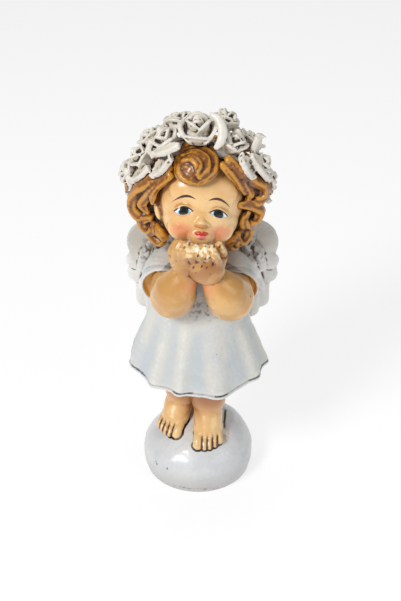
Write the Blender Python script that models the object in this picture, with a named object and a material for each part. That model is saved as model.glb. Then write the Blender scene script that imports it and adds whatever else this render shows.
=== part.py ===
# A cast and painted figurine of a small angel: a child in a pleated dress who stands barefoot on a
# rounded stone and blows a kiss, with curly hair, a wreath of roses and two short wings.
# The whole work is one casting, so every form below is fused into one closed solid.
# The front faces -Y, +Z is up, and the origin is in the middle of the flat underside. Lengths are in metres.

import math

import bmesh
import bpy
import numpy as np
from mathutils import Euler, Matrix, Vector

MM = 0.001

# The stone that the angel stands on
BASE_WIDTH = 42.8 * MM
BASE_DEPTH = 41.4 * MM
BASE_HEIGHT = 21.5 * MM
BASE_TAPER = 0.18  # how much narrower the top is
BASE_LEAN = 0.11  # how much higher the stone stands at its back and its right
BASE_WAIST = 7.0 * MM  # height of the widest line above the shelf
BASE_BELLY = 16.0 * MM  # how far the lower half would reach below the widest line before the flat cut
BASE_SQUARENESS = 2.2  # 2 is an ellipsoid, more is boxier
BASE_LIP = 0.9 * MM  # how far the foot rim stands out
BASE_LIP_HEIGHT = 1.4 * MM

# The figure, drawn on a sheet of 126 units from its ankles to the top of the wreath
FIGURE_HEIGHT = 126.0 * MM
ANKLE_RISE = 2.0 * MM  # from the top of the stone to the lower edge of the sheet
UNIT = FIGURE_HEIGHT / 126

# The dress
HEM_WIDTH = 50.4 * MM
HEM_DEPTH = 43.4 * MM
PLEATS = 11
PLEAT_DEPTH = 1.15 * MM
HEM_BAND = 1.9 * MM  # height of the border that runs round the hem
HEM_GROOVE = 0.55 * MM
SKIRT_WALL = 2.2 * MM
SKIRT_RECESS = 4.5 * MM
CUFF_RADIUS = 8.3 * MM

# Arms, legs and feet
ARM_RADIUS = 7.3 * MM
WRIST_RADIUS = 4.5 * MM
FINGER_RADIUS = 1.5 * MM
LEG_RADIUS = 6.5 * MM
ANKLE_RADIUS = 5.3 * MM
FOOT_LENGTH = 18.0 * MM
FOOT_WIDTH = 12.0 * MM
FOOT_SLOPE = math.radians(16.0)
TOE_RADIUS = 1.15 * MM

# The head and its hair
HEAD_RADIUS = 16.0 * MM
HEAD_PITCH = math.radians(20.0)  # the face looks up
HEAD_YAW = math.radians(5.5)
HEAD_ROLL = math.radians(5.0)
NECK_RADIUS = 6.5 * MM
HAIR_DEPTH = 2.9 * MM
LOCK_RADIUS = 2.3 * MM
CURL_RADIUS = 4.6 * MM
FORELOCK_WIDTH = 14.5 * MM

# The wreath
ROSES = 12
ROSE_RADIUS = 5.8 * MM
PETAL_THICKNESS = 1.25 * MM
WREATH_RADIUS = 20.0 * MM
WREATH_BAND = 2.6 * MM
LEAF_LENGTH = 9.5 * MM
LEAF_WIDTH = 5.6 * MM

# The wings
WING_SPAN = 60.0 * MM
WING_THICKNESS = 5.0 * MM
FEATHER_THICKNESS = 2.6 * MM
WING_SWEEP = math.radians(14.0)  # the tips stand back from the shoulders

# The casting
CAST_GRAIN = 0.55 * MM  # finest detail that the mould keeps
TRIANGLES = 9600

HEAD_CENTRE = (1.3, -1.0, 96.5)


def spot(x, y, z):
    """A place on the figure's sheet, where z is counted up from the ankles."""
    return Vector((x, y, z)) * UNIT + Vector((0, 0, BASE_HEIGHT + ANKLE_RISE))


# Shapes that the forms are made of


def pour(clay, form):
    """Adds a finished form to the rest of the figure."""
    mesh = bpy.data.meshes.new("form")
    form.to_mesh(mesh)
    form.free()
    clay.from_mesh(mesh)
    bpy.data.meshes.remove(mesh)


def blob(clay, centre, size, turn=(0, 0, 0), round_steps=20, place=Matrix()):
    """An ellipsoid. size holds its three half-lengths."""
    form = bmesh.new()
    angles = Euler([math.radians(a) for a in turn])
    bmesh.ops.create_uvsphere(form, u_segments=round_steps, v_segments=round_steps * 2 // 3, radius=1)
    form.transform(place @ Matrix.LocRotScale(Vector(centre), angles, Vector(size)))
    pour(clay, form)


def section(centre, half_width, half_height, heading, up):
    """The matrix that lays a unit circle across a form."""
    ahead = heading.normalized()
    side = up.cross(ahead).normalized()
    turned = Matrix((side, ahead.cross(side), ahead)).transposed().to_4x4()
    return Matrix.Translation(centre) @ turned @ Matrix.Diagonal((half_width, half_height, 1, 1))


def loft(clay, sections, sides=14, shape=None):
    """A closed skin through sections, made by extruding a circle from each one to the next."""
    form = bmesh.new()
    ring = bmesh.ops.create_circle(form, cap_ends=True, segments=sides, radius=1, matrix=sections[0])["verts"]
    edges = form.edges[:]
    for before, after in zip(sections, sections[1:]):
        grown = bmesh.ops.extrude_edge_only(form, edges=edges)["geom"]
        ring = [g for g in grown if isinstance(g, bmesh.types.BMVert)]
        edges = [g for g in grown if isinstance(g, bmesh.types.BMEdge) and g.is_boundary]
        bmesh.ops.transform(form, matrix=after @ before.inverted(), verts=ring)
    bmesh.ops.contextual_create(form, geom=edges)
    bmesh.ops.recalc_face_normals(form, faces=form.faces)
    if shape:
        shape(form.verts)
    pour(clay, form)


def smooth_path(points, steps):
    """Points along a soft curve through the given ones."""
    given = [np.array(p, float) for p in points]
    given = [2 * given[0] - given[1], *given, 2 * given[-1] - given[-2]]
    path = []
    for i in range(1, len(given) - 2):
        a, b, c, d = given[i - 1 : i + 3]
        for t in np.linspace(0, 1, steps, endpoint=False):
            bend, twist = 2 * a - 5 * b + 4 * c - d, 3 * b - a - 3 * c + d
            path.append(0.5 * (2 * b + (c - a) * t + bend * t**2 + twist * t**3))
    path.append(given[-2])
    return [Vector(p) for p in path]


def tube(clay, points, radii, flat=1.0, up=(0, 0, 1), sides=12, steps=4):
    """A soft limb through points with round ends. flat is its height over its width."""
    path = smooth_path(points, steps)
    widths = np.interp(np.linspace(0, 1, len(path)), np.linspace(0, 1, len(radii)), radii)
    up = Vector(up)
    headings = [(b - a).normalized() for a, b in zip(path[:1] + path[:-1], path[1:] + path[-1:])]
    rows = [(0, angle) for angle in (-78, -52, -26)]
    rows += [(i, 0) for i in range(len(path))]
    rows += [(-1, angle) for angle in (26, 52, 78)]
    sections = []
    for i, angle in rows:
        beyond, r = widths[i] * math.sin(math.radians(angle)), widths[i] * math.cos(math.radians(angle))
        sections.append(section(path[i] + headings[i] * beyond, r, r * flat, headings[i], up))
    loft(clay, sections, sides)


def plate(clay, outline, thickness, place, across=6, along=8):
    """A bent leaf of even thickness. outline(u, v) gives its middle surface for u and v from -1 to 1."""
    form = bmesh.new()
    bmesh.ops.create_grid(form, x_segments=across, y_segments=along, size=1)
    for v in form.verts:
        v.co = outline(v.co.x, v.co.y)
    form.normal_update()
    bmesh.ops.solidify(form, geom=form.faces[:], thickness=thickness)
    bmesh.ops.recalc_face_normals(form, faces=form.faces)
    bmesh.ops.transform(form, matrix=place, verts=form.verts)
    pour(clay, form)


# The stone


def stone(clay):
    """A smooth pebble, flat below and highest at the back, with a thin rim where the mould was filled."""
    half = Vector((BASE_WIDTH / 2, BASE_DEPTH / 2, BASE_HEIGHT - BASE_WAIST))
    form = bmesh.new()
    bmesh.ops.create_uvsphere(form, u_segments=48, v_segments=32, radius=1)
    for v in form.verts:
        v.co /= sum(abs(c) ** BASE_SQUARENESS for c in v.co) ** (1 / BASE_SQUARENESS)
        rise = max(v.co.z, 0)
        reach = half.z * (1 + BASE_LEAN * rise * (v.co.x + v.co.y)) if rise else BASE_BELLY
        shift = BASE_WIDTH * 0.024 * rise**2
        x = v.co.x * half.x * (1 - BASE_TAPER * rise**1.5) + shift
        v.co = Vector((x, v.co.y * half.y, v.co.z * reach + BASE_WAIST))
    rim = (1 - (BASE_WAIST / BASE_BELLY) ** BASE_SQUARENESS) ** (1 / BASE_SQUARENESS)
    pour(clay, form)
    sections = []
    for share, lip in ((1, -BASE_LIP), (1, BASE_LIP * 0.6), (0.6, BASE_LIP), (-1, BASE_LIP)):
        level = Matrix.Translation((0, 0, BASE_LIP_HEIGHT * share))
        sections.append(level @ Matrix.Diagonal((half.x * rim + lip, half.y * rim + lip, -1, 1)))
    loft(clay, sections, sides=48)


# Legs and feet


def foot(clay, ankle, turn):
    """A chubby bare foot under an ankle. turn is its heading away from straight ahead."""
    along = Vector((math.sin(turn), -math.cos(turn), -math.tan(FOOT_SLOPE))).normalized()
    side = Vector((math.cos(turn), math.sin(turn), 0))
    up = side.cross(along) * -1
    heel = ankle - along * FOOT_LENGTH * 0.06 - up * ANKLE_RADIUS * 0.80
    ball = heel + along * FOOT_LENGTH * 0.44 + up * FOOT_LENGTH * 0.016
    w = FOOT_WIDTH / 2
    arch = heel + along * FOOT_LENGTH * 0.30 + up * FOOT_LENGTH * 0.05
    tube(clay, [heel, arch, ball], [w * 0.84, w * 0.90, w * 0.96], 0.60, up, sides=18)
    instep = ankle + along * FOOT_LENGTH * 0.20 - up * ANKLE_RADIUS * 0.26
    toeward = ankle + along * FOOT_LENGTH * 0.42 - up * ANKLE_RADIUS * 0.66
    tube(clay, [ankle, instep, toeward], [ANKLE_RADIUS * 1.02, w * 0.92, w * 0.80], 0.86, up, sides=18)
    return ball, along, side, up


TOES = (  # place across the foot, thickness and reach, as shares of the little toe's radius
    (3.26, 1.61, 3.04),
    (1.00, 1.03, 3.30),
    (-0.83, 0.99, 3.04),
    (-2.57, 0.96, 2.52),
    (-4.13, 0.91, 1.83),
)


def toes(clay, ball, along, side, up, big_side):
    """Five toes across the ball of a foot, the big one on the inner side."""
    r = TOE_RADIUS
    for across, size, reach in TOES:
        start = ball + side * across * big_side * 0.94 * r + along * (3.83 - 0.058 * across**2) * r
        tip = start + along * reach * r - up * 1.3 * r + side * across * big_side * 0.04 * r
        middle = (start + tip) / 2 + up * 0.2 * r
        widths = [size * r * w for w in (0.95, 0.98, 1.06)]
        tube(clay, [start - along * 2.2 * r, middle, tip], widths, 1, up, sides=10, steps=3)


def legs(clay):
    """Two short legs from inside the dress to the stone."""
    for x, y, z, turn, big_side in ((-6.8, 4.6, 4.3, -0.36, 1), (4.1, -1.4, 4.2, 0.04, -1)):
        ankle = spot(x, y, z)
        knee = spot(x * 0.86 + 0.7, y * 0.5 - 0.6, 17)
        hip = spot(x * 0.80 + 0.7, y * 0.3, 34)
        shin = ankle.lerp(knee, 0.28) - Vector((0, 0.4, 0)) * UNIT
        widths = [ANKLE_RADIUS * 0.95, LEG_RADIUS, LEG_RADIUS * 1.04, LEG_RADIUS * 1.06]
        tube(clay, [ankle, shin, knee, hip], widths, up=(0, 1, 0), sides=18)
        toes(clay, *foot(clay, ankle, turn), big_side)


# The dress

DRESS_SECTIONS = (  # height on the sheet, share of the hem's width and depth, forward shift
    (78.0, 0.16, 0.20, 0.5),
    (75.5, 0.27, 0.30, 0.6),
    (72.0, 0.52, 0.42, 0.4),
    (67.5, 0.63, 0.52, 0.0),
    (60.0, 0.64, 0.58, 0.2),
    (52.0, 0.68, 0.64, 0.4),
    (44.0, 0.78, 0.74, 0.2),
    (36.0, 0.90, 0.87, 0.0),
    (32.0, 0.96, 0.95, 0.0),
    (29.0, 1.00, 1.00, 0.0),
)


def hem_drop(angle):
    """How far the hem dips, lowest in front and again behind, with a slow wave and a slant."""
    ahead, right = -math.sin(angle), math.cos(angle)
    dip = 2.2 * max(0, ahead) ** 2 + 1.2 * max(0, -ahead) ** 2
    return (dip + 1.0 * right + 0.45 * math.sin(5 * angle + 0.8)) * UNIT


def pleated(v, share):
    """Pushes a point of the skirt out or in by the pleats, which open towards the hem."""
    angle = math.atan2(v.co.y, v.co.x)
    wave = math.cos(PLEATS * angle + 0.5 * math.sin(2 * angle) + 1.1 * math.sin(3 * angle))
    depth = PLEAT_DEPTH * share**1.4 * (0.7 + 0.3 * wave) * wave
    out = Vector((math.cos(angle), math.sin(angle), 0))
    v.co += out * depth
    v.co.z -= hem_drop(angle) * share**3


def dress(clay):
    """The dress from the neck to the hem, with its border and the hollow under the skirt."""
    top, low = DRESS_SECTIONS[0][0], DRESS_SECTIONS[-1][0]
    w, d = HEM_WIDTH / 2, HEM_DEPTH / 2
    groove = HEM_GROOVE
    rows = [(z * UNIT, w * a, d * b, y * UNIT) for z, a, b, y in DRESS_SECTIONS]
    hem = low * UNIT
    rows += [
        (hem - HEM_BAND * 0.15, w - groove, d - groove, 0),
        (hem - HEM_BAND * 0.35, w + groove * 0.5, d + groove * 0.5, 0),
        (hem - HEM_BAND * 0.85, w + groove * 0.6, d + groove * 0.6, 0),
        (hem - HEM_BAND, w - groove * 0.5, d - groove * 0.5, 0),
        (hem - HEM_BAND, w - SKIRT_WALL, d - SKIRT_WALL, 0),
        (hem - HEM_BAND + SKIRT_RECESS, w - SKIRT_WALL * 1.8, d - SKIRT_WALL * 1.8, 0),
        (hem - HEM_BAND + SKIRT_RECESS * 1.1, w * 0.3, d * 0.3, 0),
    ]
    sections = []
    for z, a, b, shift in rows:
        level = Matrix.Translation(Vector((0, -shift, z)) + spot(0, 0, 0))
        sections.append(level @ Matrix.Diagonal((a, b, -1, 1)))
    def fold(verts):
        for v in verts:
            share = (spot(0, 0, top).z - v.co.z) / ((top - low) * UNIT)
            pleated(v, min(max((share - 0.35) / 0.65, 0), 1))

    loft(clay, sections, sides=PLEATS * 10, shape=fold)


def cuff_place(side):
    """Middle and facing of a sleeve's open end."""
    place = spot(-10.9, -8.6, 63.2) if side < 0 else spot(13.6, -8.6, 64.0)
    return place, Vector((0.10 * side, -0.96, -0.16)).normalized()


SLEEVE_ROWS = (  # how far along from shoulder to cuff, share of the cuff's radius
    (-0.10, 0.60),
    (0.05, 0.80),
    (0.20, 0.94),
    (0.35, 1.00),
    (0.55, 1.04),
    (0.72, 1.05),
    (0.92, 1.07),
    (0.98, 1.07),
    (1.00, 1.02),
    (1.00, 0.95),
    (0.88, 0.90),
    (0.80, 0.60),
)


def sleeves(clay):
    """Short flared sleeves, open round the elbow, with a rolled edge."""
    for side in (-1, 1):
        cuff, facing = cuff_place(side)
        shoulder = spot(side * 7.6 + (1.2 if side > 0 else 0), 3.4, 68.5)
        start = Vector((0.45 * side, -0.5, -0.30)).normalized()
        wide = CUFF_RADIUS * (1 if side < 0 else 0.96)
        sections = []
        for t, r in SLEEVE_ROWS:
            share = min(max(t, 0), 1)
            bulge = Vector((side * 1.6, 0, -0.4)) * UNIT * math.sin(math.pi * share)
            heading = start.lerp(facing, share**0.7)
            centre = shoulder.lerp(cuff, t) + bulge
            sections.append(section(centre, wide * r, wide * r * 1.02, heading, Vector((0, 0, 1))))
        loft(clay, sections, sides=28)


def arms(clay):
    """Both bent arms, from the sleeves to the wrists under the chin."""
    for side, elbow, wrist, fat in (
        (-1, spot(-7.6, -14.4, 64.3), spot(-2.6, -17.8, 76.0), 1.07),
        (1, spot(12.2, -14.6, 64.9), spot(6.2, -18.2, 75.8), 1.13),
    ):
        shoulder = spot(side * 9.8 + 1.2, -1.0, 66.0)
        middle = shoulder.lerp(elbow, 0.55) + Vector((side * 0.5, 0, -0.4)) * UNIT
        widths = [ARM_RADIUS * 0.92, ARM_RADIUS * 0.98, ARM_RADIUS * fat]
        tube(clay, [shoulder, middle, elbow], widths, sides=20)
        middle = elbow.lerp(wrist, 0.42) + Vector((side * 0.6, -1.4, 0)) * UNIT
        widths = [ARM_RADIUS * fat, ARM_RADIUS, WRIST_RADIUS]
        tube(clay, [elbow, middle, wrist], widths, up=(0, 1, 0), sides=20)


def hands(clay):
    """Two cupped hands, one laid over the other, with the fingertips at the lips."""
    r = FINGER_RADIUS
    blob(clay, spot(-1.9, -19.0, 80.8), Vector((5.0, 3.8, 6.6)) * UNIT, (18, 0, 12))
    blob(clay, spot(4.3, -21.0, 80.4), Vector((6.3, 4.3, 6.4)) * UNIT, (14, 0, -8))
    for i in range(4):
        share = i / 3
        root = spot(8.4 - 2.6 * i, -23.4 + 0.3 * i, 84.8 - 0.7 * share)
        knuckle = spot(7.5 - 2.6 * i, -24.7 + 0.3 * i, 87.6 - 0.5 * share)
        tip = spot(6.4 - 2.4 * i, -23.2 + 0.3 * i, 89.8 - 0.2 * share)
        tube(clay, [root, knuckle, tip], [r, r * 1.02, r * 0.9], sides=10)
    for i in range(3):
        root = spot(-5.8 + 1.6 * i, -20.2 - 0.8 * i, 83.0)
        knuckle = spot(-5.6 + 1.8 * i, -21.2 - 0.9 * i, 87.0)
        tip = spot(-4.2 + 1.7 * i, -20.2 - 0.7 * i, 89.6)
        tube(clay, [root, knuckle, tip], [r, r, r * 0.85], sides=10)
    for points in (
        (spot(8.8, -19.4, 81.0), spot(9.6, -19.8, 85.4), spot(8.4, -19.2, 88.6)),
        (spot(-6.0, -18.0, 80.0), spot(-6.8, -18.6, 84.8), spot(-5.6, -18.0, 88.2)),
    ):
        tube(clay, points, [r * 1.25, r * 1.3, r], sides=10)


# The head: its own frame has the face towards -Y, and its place comes from the three angles

HEAD_TURN = Euler((-HEAD_PITCH, HEAD_ROLL, HEAD_YAW), "XYZ").to_matrix().to_4x4()
HEAD_SHARE = HEAD_RADIUS / 16.0  # features are drawn on a head of 16 units


def head_place():
    return Matrix.Translation(spot(*HEAD_CENTRE)) @ HEAD_TURN


def on_head(x, y, z):
    """A place in the head's own frame, drawn on a skull of 16 units."""
    return head_place() @ (Vector((x, y, z)) * HEAD_SHARE)


def head_blob(clay, centre, size, turn=(0, 0, 0), round_steps=20):
    """An ellipsoid drawn in the head's own frame."""
    blob(clay, Vector(centre) * HEAD_SHARE, Vector(size) * HEAD_SHARE, turn, round_steps, head_place())


def face(clay):
    """Skull, cheeks, chin, nose, lips, eyelids and ears of a calm, round child's face."""
    head_blob(clay, (0, 0.5, 0.5), (15.2, 15.2, 15.8), round_steps=36)
    head_blob(clay, (0, -3.6, -6.0), (12.8, 11.2, 10.6), round_steps=32)
    head_blob(clay, (0, -11.8, -10.8), (4.6, 3.2, 3.6))
    head_blob(clay, (0, -10.4, -14.0), (3.8, 3.4, 3.0))
    head_blob(clay, (0, -9.9, 3.4), (11.4, 4.8, 7.8), round_steps=26)
    bridge = [on_head(-0.3, -13.1, -3.2), on_head(-0.3, -14.0, -5.0), on_head(-0.3, -15.5, -6.5)]
    tube(clay, bridge, [w * HEAD_SHARE for w in (0.9, 1.1, 1.75)], up=(1, 0, 0), sides=10)
    head_blob(clay, (0, -14.9, -9.75), (2.2, 1.0, 0.7))
    head_blob(clay, (0, -14.6, -11.2), (1.8, 1.0, 0.8))
    for side in (-1, 1):
        head_blob(clay, (side * 5.4, -7.9, -8.6), (5.9, 5.2, 5.6))
        head_blob(clay, (side * 1.45, -14.8, -6.9), (1.15, 1.2, 0.95))
        head_blob(clay, (side * 5.8 - 0.4, -12.3, -3.2), (3.3, 2.1, 2.3))
        head_blob(clay, (side * 13.8, -1.6, -4.8), (1.7, 2.9, 4.0), (0, side * 12, side * 20))
    neck = [spot(0.3, 1.0, 70), on_head(0, 1, -10)]
    tube(clay, neck, [NECK_RADIUS, NECK_RADIUS], up=(0, 1, 0))


def curl(clay, azimuth, height, size, first, side, rise):
    """A curl that winds inwards like a snail shell and stands off the scalp."""
    a, h = math.radians(azimuth), math.radians(height)
    out = Vector((math.sin(a) * math.cos(h), -math.cos(a) * math.cos(h), math.sin(h)))
    across = Vector((0, 0, 1)).cross(out).normalized()
    r = CURL_RADIUS * size
    middle = out * (HEAD_RADIUS + HAIR_DEPTH * 0.6 + rise * UNIT)
    path = []
    for i in range(15):
        share = i / 14
        turn = math.radians(first + side * 430 * share)
        reach = r * (0.66 - 0.54 * share**0.9) * (1 + 0.10 * math.sin(3 * turn + first))
        point = middle + (across * math.cos(turn) + out.cross(across) * math.sin(turn)) * reach
        path.append(head_place() @ (point + out * r * (0.42 * math.sin(share * math.pi / 2) - 0.10)))
    blob(clay, middle, (r * 0.62,) * 3, round_steps=12, place=head_place())
    widths = [r * w for w in (0.26, 0.42, 0.44, 0.40, 0.34, 0.26)]
    tube(clay, path, widths, 0.95, HEAD_TURN.to_3x3() @ out, sides=9, steps=1)


FACE_CURLS = (  # azimuth and height on the head, size, start, winding, stand-off
    (-100, 24, 1.12, 20, 1, 0.4),
    (-98, -4, 1.12, 140, -1, 0.6),
    (-104, -30, 1.12, 20, 1, 0.6),
    (-92, -46, 0.98, 90, -1, 0.2),
    (100, 22, 1.12, 160, -1, 0.4),
    (98, -6, 1.12, 40, 1, 0.6),
    (104, -32, 1.12, 160, -1, 0.6),
    (92, -48, 0.96, 90, 1, 0.0),
)
SIDE_LOCKS = (  # the locks that frame the face on the figure's sheet, and their share of the lock's radius
    (
        (
            (-9.0, -9.6, 111.0), (-14.6, -7.4, 105.5), (-19.4, -4.4, 100.5), (-21.8, -2.8, 95.7),
            (-21.6, -2.6, 92.1), (-18.8, -4.0, 89.1), (-15.8, -5.8, 90.1),
        ),
        1.02,
    ),
    (
        (
            (-9.4, -10.4, 109.1), (-13.4, -8.8, 104.3), (-16.2, -7.0, 99.5), (-18.0, -5.8, 95.7),
            (-16.4, -6.8, 93.1),
        ),
        0.91,
    ),
    (
        (
            (-8.0, -11.4, 109.3), (-11.6, -10.8, 105.7), (-13.8, -9.6, 101.7), (-14.4, -8.8, 97.7),
        ),
        0.61,
    ),
    (
        (
            (-18.0, -3.6, 90.5), (-19.0, -3.6, 87.3), (-17.0, -4.8, 84.5), (-14.6, -5.8, 85.7),
            (-14.6, -5.8, 88.1),
        ),
        0.85,
    ),
    (
        (
            (-16.8, -3.2, 85.5), (-15.4, -3.8, 81.7), (-12.6, -5.0, 80.1), (-10.6, -5.6, 81.9),
        ),
        0.83,
    ),
    (
        (
            (-14.0, -2.0, 111.0), (-18.4, -2.0, 106.1), (-22.0, -0.8, 101.1), (-23.4, 0.2, 96.5),
        ),
        1.0,
    ),
    (
        (
            (9.0, -10.8, 113.5), (12.2, -10.2, 109.9), (14.6, -9.0, 105.9), (16.0, -8.0, 102.1),
        ),
        0.65,
    ),
    (
        (
            (11.0, -9.0, 114.5), (15.2, -7.8, 109.7), (19.0, -5.6, 105.7), (22.2, -3.8, 102.7),
            (22.0, -3.6, 98.9), (19.2, -5.0, 96.9), (17.0, -6.2, 98.3),
        ),
        0.98,
    ),
    (
        (
            (13.4, -8.8, 108.9), (16.2, -7.6, 104.9), (17.8, -6.6, 101.5), (17.4, -6.8, 99.3),
        ),
        0.7,
    ),
    (
        (
            (15.2, -7.6, 97.3), (18.4, -5.4, 96.1), (21.2, -3.6, 93.3), (20.4, -3.6, 89.7),
            (17.4, -5.0, 88.7), (15.8, -6.2, 91.1), (17.2, -5.8, 93.1),
        ),
        0.91,
    ),
    (
        (
            (16.8, -4.2, 89.1), (18.0, -3.8, 85.3), (16.0, -4.8, 81.5), (13.6, -6.0, 82.5),
            (14.0, -6.2, 85.3),
        ),
        0.85,
    ),
    (
        (
            (14.0, -4.0, 81.5), (12.6, -4.6, 79.1), (10.4, -5.4, 79.9),
        ),
        0.78,
    ),
    (
        (
            (14.4, -2.0, 113.5), (19.0, -2.0, 108.5), (23.0, -0.8, 103.5), (24.4, 0.2, 98.5),
        ),
        1.0,
    ),
)
BACK_CURLS = (  # height on the head, how many, and the first one's azimuth
    (-40, 6, 122),
    (-20, 6, 128),
    (2, 6, 124),
    (24, 7, 98),
    (46, 6, 84),
    (68, 4, 70),
)
HAIR_FILL = (  # hair behind the side locks: middle and half-lengths
    ((-17.0, -1.0, 97.5), (5.0, 4.4, 9.0)),
    ((17.6, -1.0, 98.0), (5.0, 4.4, 9.0)),
    ((-14.4, -1.4, 85.5), (4.6, 4.0, 5.0)),
    ((15.4, -1.4, 86.1), (4.6, 4.0, 5.0)),
)
FORELOCK = (  # its strands on a curl 14.5 units wide: points across and up, thickness, how proud
    (
        (
            (-6.0, -2.6), (-5.6, 1.0), (-3.0, 4.0), (1.4, 4.6), (4.6, 2.6), (5.2, -1.2),
            (3.2, -4.4), (0.8, -6.0),
        ),
        2.52,
        0.4,
    ),
    (
        (
            (-5.6, -1.6), (-4.6, -4.2), (-2.2, -5.4), (0.4, -6.2),
        ),
        2.21,
        0.4,
    ),
    (
        (
            (-3.2, 0.6), (-0.4, 2.4), (2.6, 1.2), (3.0, -1.8), (0.8, -3.8),
        ),
        2.1,
        1.6,
    ),
    (
        (
            (-2.6, -1.4), (-1.0, 0.0), (0.8, -1.0), (0.2, -2.8),
        ),
        1.68,
        2.2,
    ),
)


def hair(clay):
    """A cap of hair, locks that frame the face, rows of curls behind, and the big forelock."""
    cap = HEAD_RADIUS + HAIR_DEPTH * 0.5
    blob(clay, Vector((0, 3.0, 1.0)) * UNIT, (cap, cap * 0.82, cap), round_steps=30, place=head_place())
    for place in FACE_CURLS:
        curl(clay, *place)
    for points, thick in SIDE_LOCKS:
        points = [spot(*p) for p in points]
        up = points[len(points) // 2] - spot(*HEAD_CENTRE)
        widths = [LOCK_RADIUS * thick * w for w in (0.9, 1.12, 1.02, 1.14, 0.7)]
        tube(clay, points, widths, 0.92, up, sides=12, steps=4)
    for row, (height, count, first) in enumerate(BACK_CURLS):
        for i in range(count):
            azimuth = first + (360 - 2 * first) * i / (count - 1)
            size = 1.12 + 0.10 * math.sin(5 * i + row)
            curl(clay, azimuth, height, size, 70 * i + 40 * row, (-1) ** (i + row), 0.4)
    for centre, size in HAIR_FILL:
        blob(clay, spot(*centre), Vector(size) * UNIT)
    forelock(clay)


def forelock(clay):
    """The big curl above the forehead, with its roots under the front rose."""
    unit = FORELOCK_WIDTH / 14.5
    turn = Euler((math.radians(-38), 0, math.radians(-4))).to_matrix().to_4x4()
    place = head_place() @ Matrix.Translation(Vector((-1.9, 0, 0)) * unit) @ turn
    depth = -HEAD_RADIUS / unit - 1.2
    blob(clay, Vector((0, depth, 1.4)) * unit, Vector((6.4, 3.9, 6.0)) * unit, place=place)
    up = place.to_3x3() @ Vector((0, -1, 0))
    for drawn, thick, proud in FORELOCK:
        path = [Vector((x, depth - 1.6 - proud + 0.045 * (x * x + z * z), z + 1.4)) for x, z in drawn]
        widths = [thick * unit * w for w in (0.6, 0.95, 1.0, 0.9, 0.5)]
        tube(clay, [place @ (p * unit) for p in path], widths, 0.9, up, sides=12, steps=3)
    for x in (-4.2, -1.4, 1.4, 4.2):
        root = ((x, depth + 0.4, 4.4), (x * 0.9, depth + 1.0, 8.8), (x * 0.8, depth + 4.0, 13.0))
        root = [place @ (Vector(p) * unit) for p in root]
        tube(clay, root, [w * unit for w in (2.0, 2.3, 2.2)], 0.9, sides=12)


# The wreath


def wreath_frame(angle):
    """Place, outward direction and course of the wreath. Angle 0 is over the brow, 180 behind the neck."""
    middle = spot(0.4, 3.0, 102.0)
    turn = math.radians(angle)
    rise, side = math.cos(turn), math.sin(turn)
    back = max(0.0, -rise)
    reach = WREATH_RADIUS
    sink = rise * (1 if rise > 0 else 0.62)
    behind = 0.72 * back**1.3 - 0.22 * max(rise, 0)
    place = middle + Vector((side * 1.04, behind, sink)) * reach
    out = (place - spot(*HEAD_CENTRE)).normalized()
    return place, out


def petal(clay, frame, spin, opening, height, spread, curl):
    """One petal that wraps round a rose's axis like part of a cup and rolls over at its rim."""

    def outline(u, v):
        rise = (v + 1) / 2
        angle = math.radians(spread) * u
        reach = opening * (0.34 + 0.66 * math.sin(rise * math.pi / 2) ** 0.8) + curl * rise**3
        level = height * rise * (1 - 0.42 * abs(u) ** 2.4)
        return Vector((reach * math.sin(angle), -reach * math.cos(angle), level))

    place = frame @ Matrix.Rotation(math.radians(spin), 4, "Z")
    plate(clay, outline, PETAL_THICKNESS, place, across=6, along=6)
    rim = [place @ outline(u, 1.0) for u in (-0.9, -0.45, 0, 0.45, 0.9)]
    widths = [PETAL_THICKNESS * w for w in (0.45, 0.6, 0.62, 0.6, 0.45)]
    tube(clay, rim, widths, up=frame.to_3x3() @ Vector((0, 0, 1)), sides=8, steps=2)


ROSE_RINGS = (  # petals, then opening, height and roll as shares of the radius, and a petal's half-angle
    (2, 0.26, 1.40, 0.00, 105),
    (3, 0.56, 1.26, 0.04, 78),
    (4, 0.92, 1.00, 0.10, 66),
)


def rose(clay, centre, axis, radius, spin):
    """An open rose: a tight bud, then rings of petals that open outwards."""
    ahead = axis.normalized()
    side = (Vector((1, 0, 0)) - ahead * ahead.x).normalized()
    root = centre - ahead * radius * 0.55
    frame = Matrix.Translation(root) @ Matrix((side, ahead.cross(side), ahead)).transposed().to_4x4()
    blob(clay, centre + ahead * radius * 0.40, (radius * 0.17,) * 3, round_steps=10)
    blob(clay, centre - ahead * radius * 0.10, (radius * 0.70, radius * 0.70, radius * 0.60), round_steps=12)
    for ring, (count, opening, height, curl, spread) in enumerate(ROSE_RINGS):
        for i in range(count):
            wild = math.sin(12.9 * i + 4.1 * spin + 7.7 * ring)
            turn = spin + 360 * (i + 0.5 * ring) / count + 9 * wild
            lean = frame @ Matrix.Rotation(math.radians(5 * math.sin(3 * wild + i)), 4, "X")
            tall, wide = radius * height * (1 + 0.07 * wild), radius * opening * (1 + 0.06 * wild)
            petal(clay, lean, turn, wide, tall, spread, radius * curl)


def leaf(clay, root, tip, out, half):
    """A thick pointed leaf with a bent middle."""
    heading = tip - root
    length = heading.length

    def outline(u, v):
        rise = (v + 1) / 2
        wide = half * math.sin(math.pi * (0.10 + 0.86 * rise)) ** 0.75
        cup = 0.16 * abs(u) ** 1.6 * wide - 0.12 * length * rise**2
        return Vector((u * wide, cup, rise * length))

    ahead = heading.normalized()
    side = out.cross(ahead).normalized()
    frame = Matrix((side, ahead.cross(side), ahead)).transposed().to_4x4()
    plate(clay, outline, PETAL_THICKNESS * 1.25, Matrix.Translation(root) @ frame, across=6, along=8)


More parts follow.
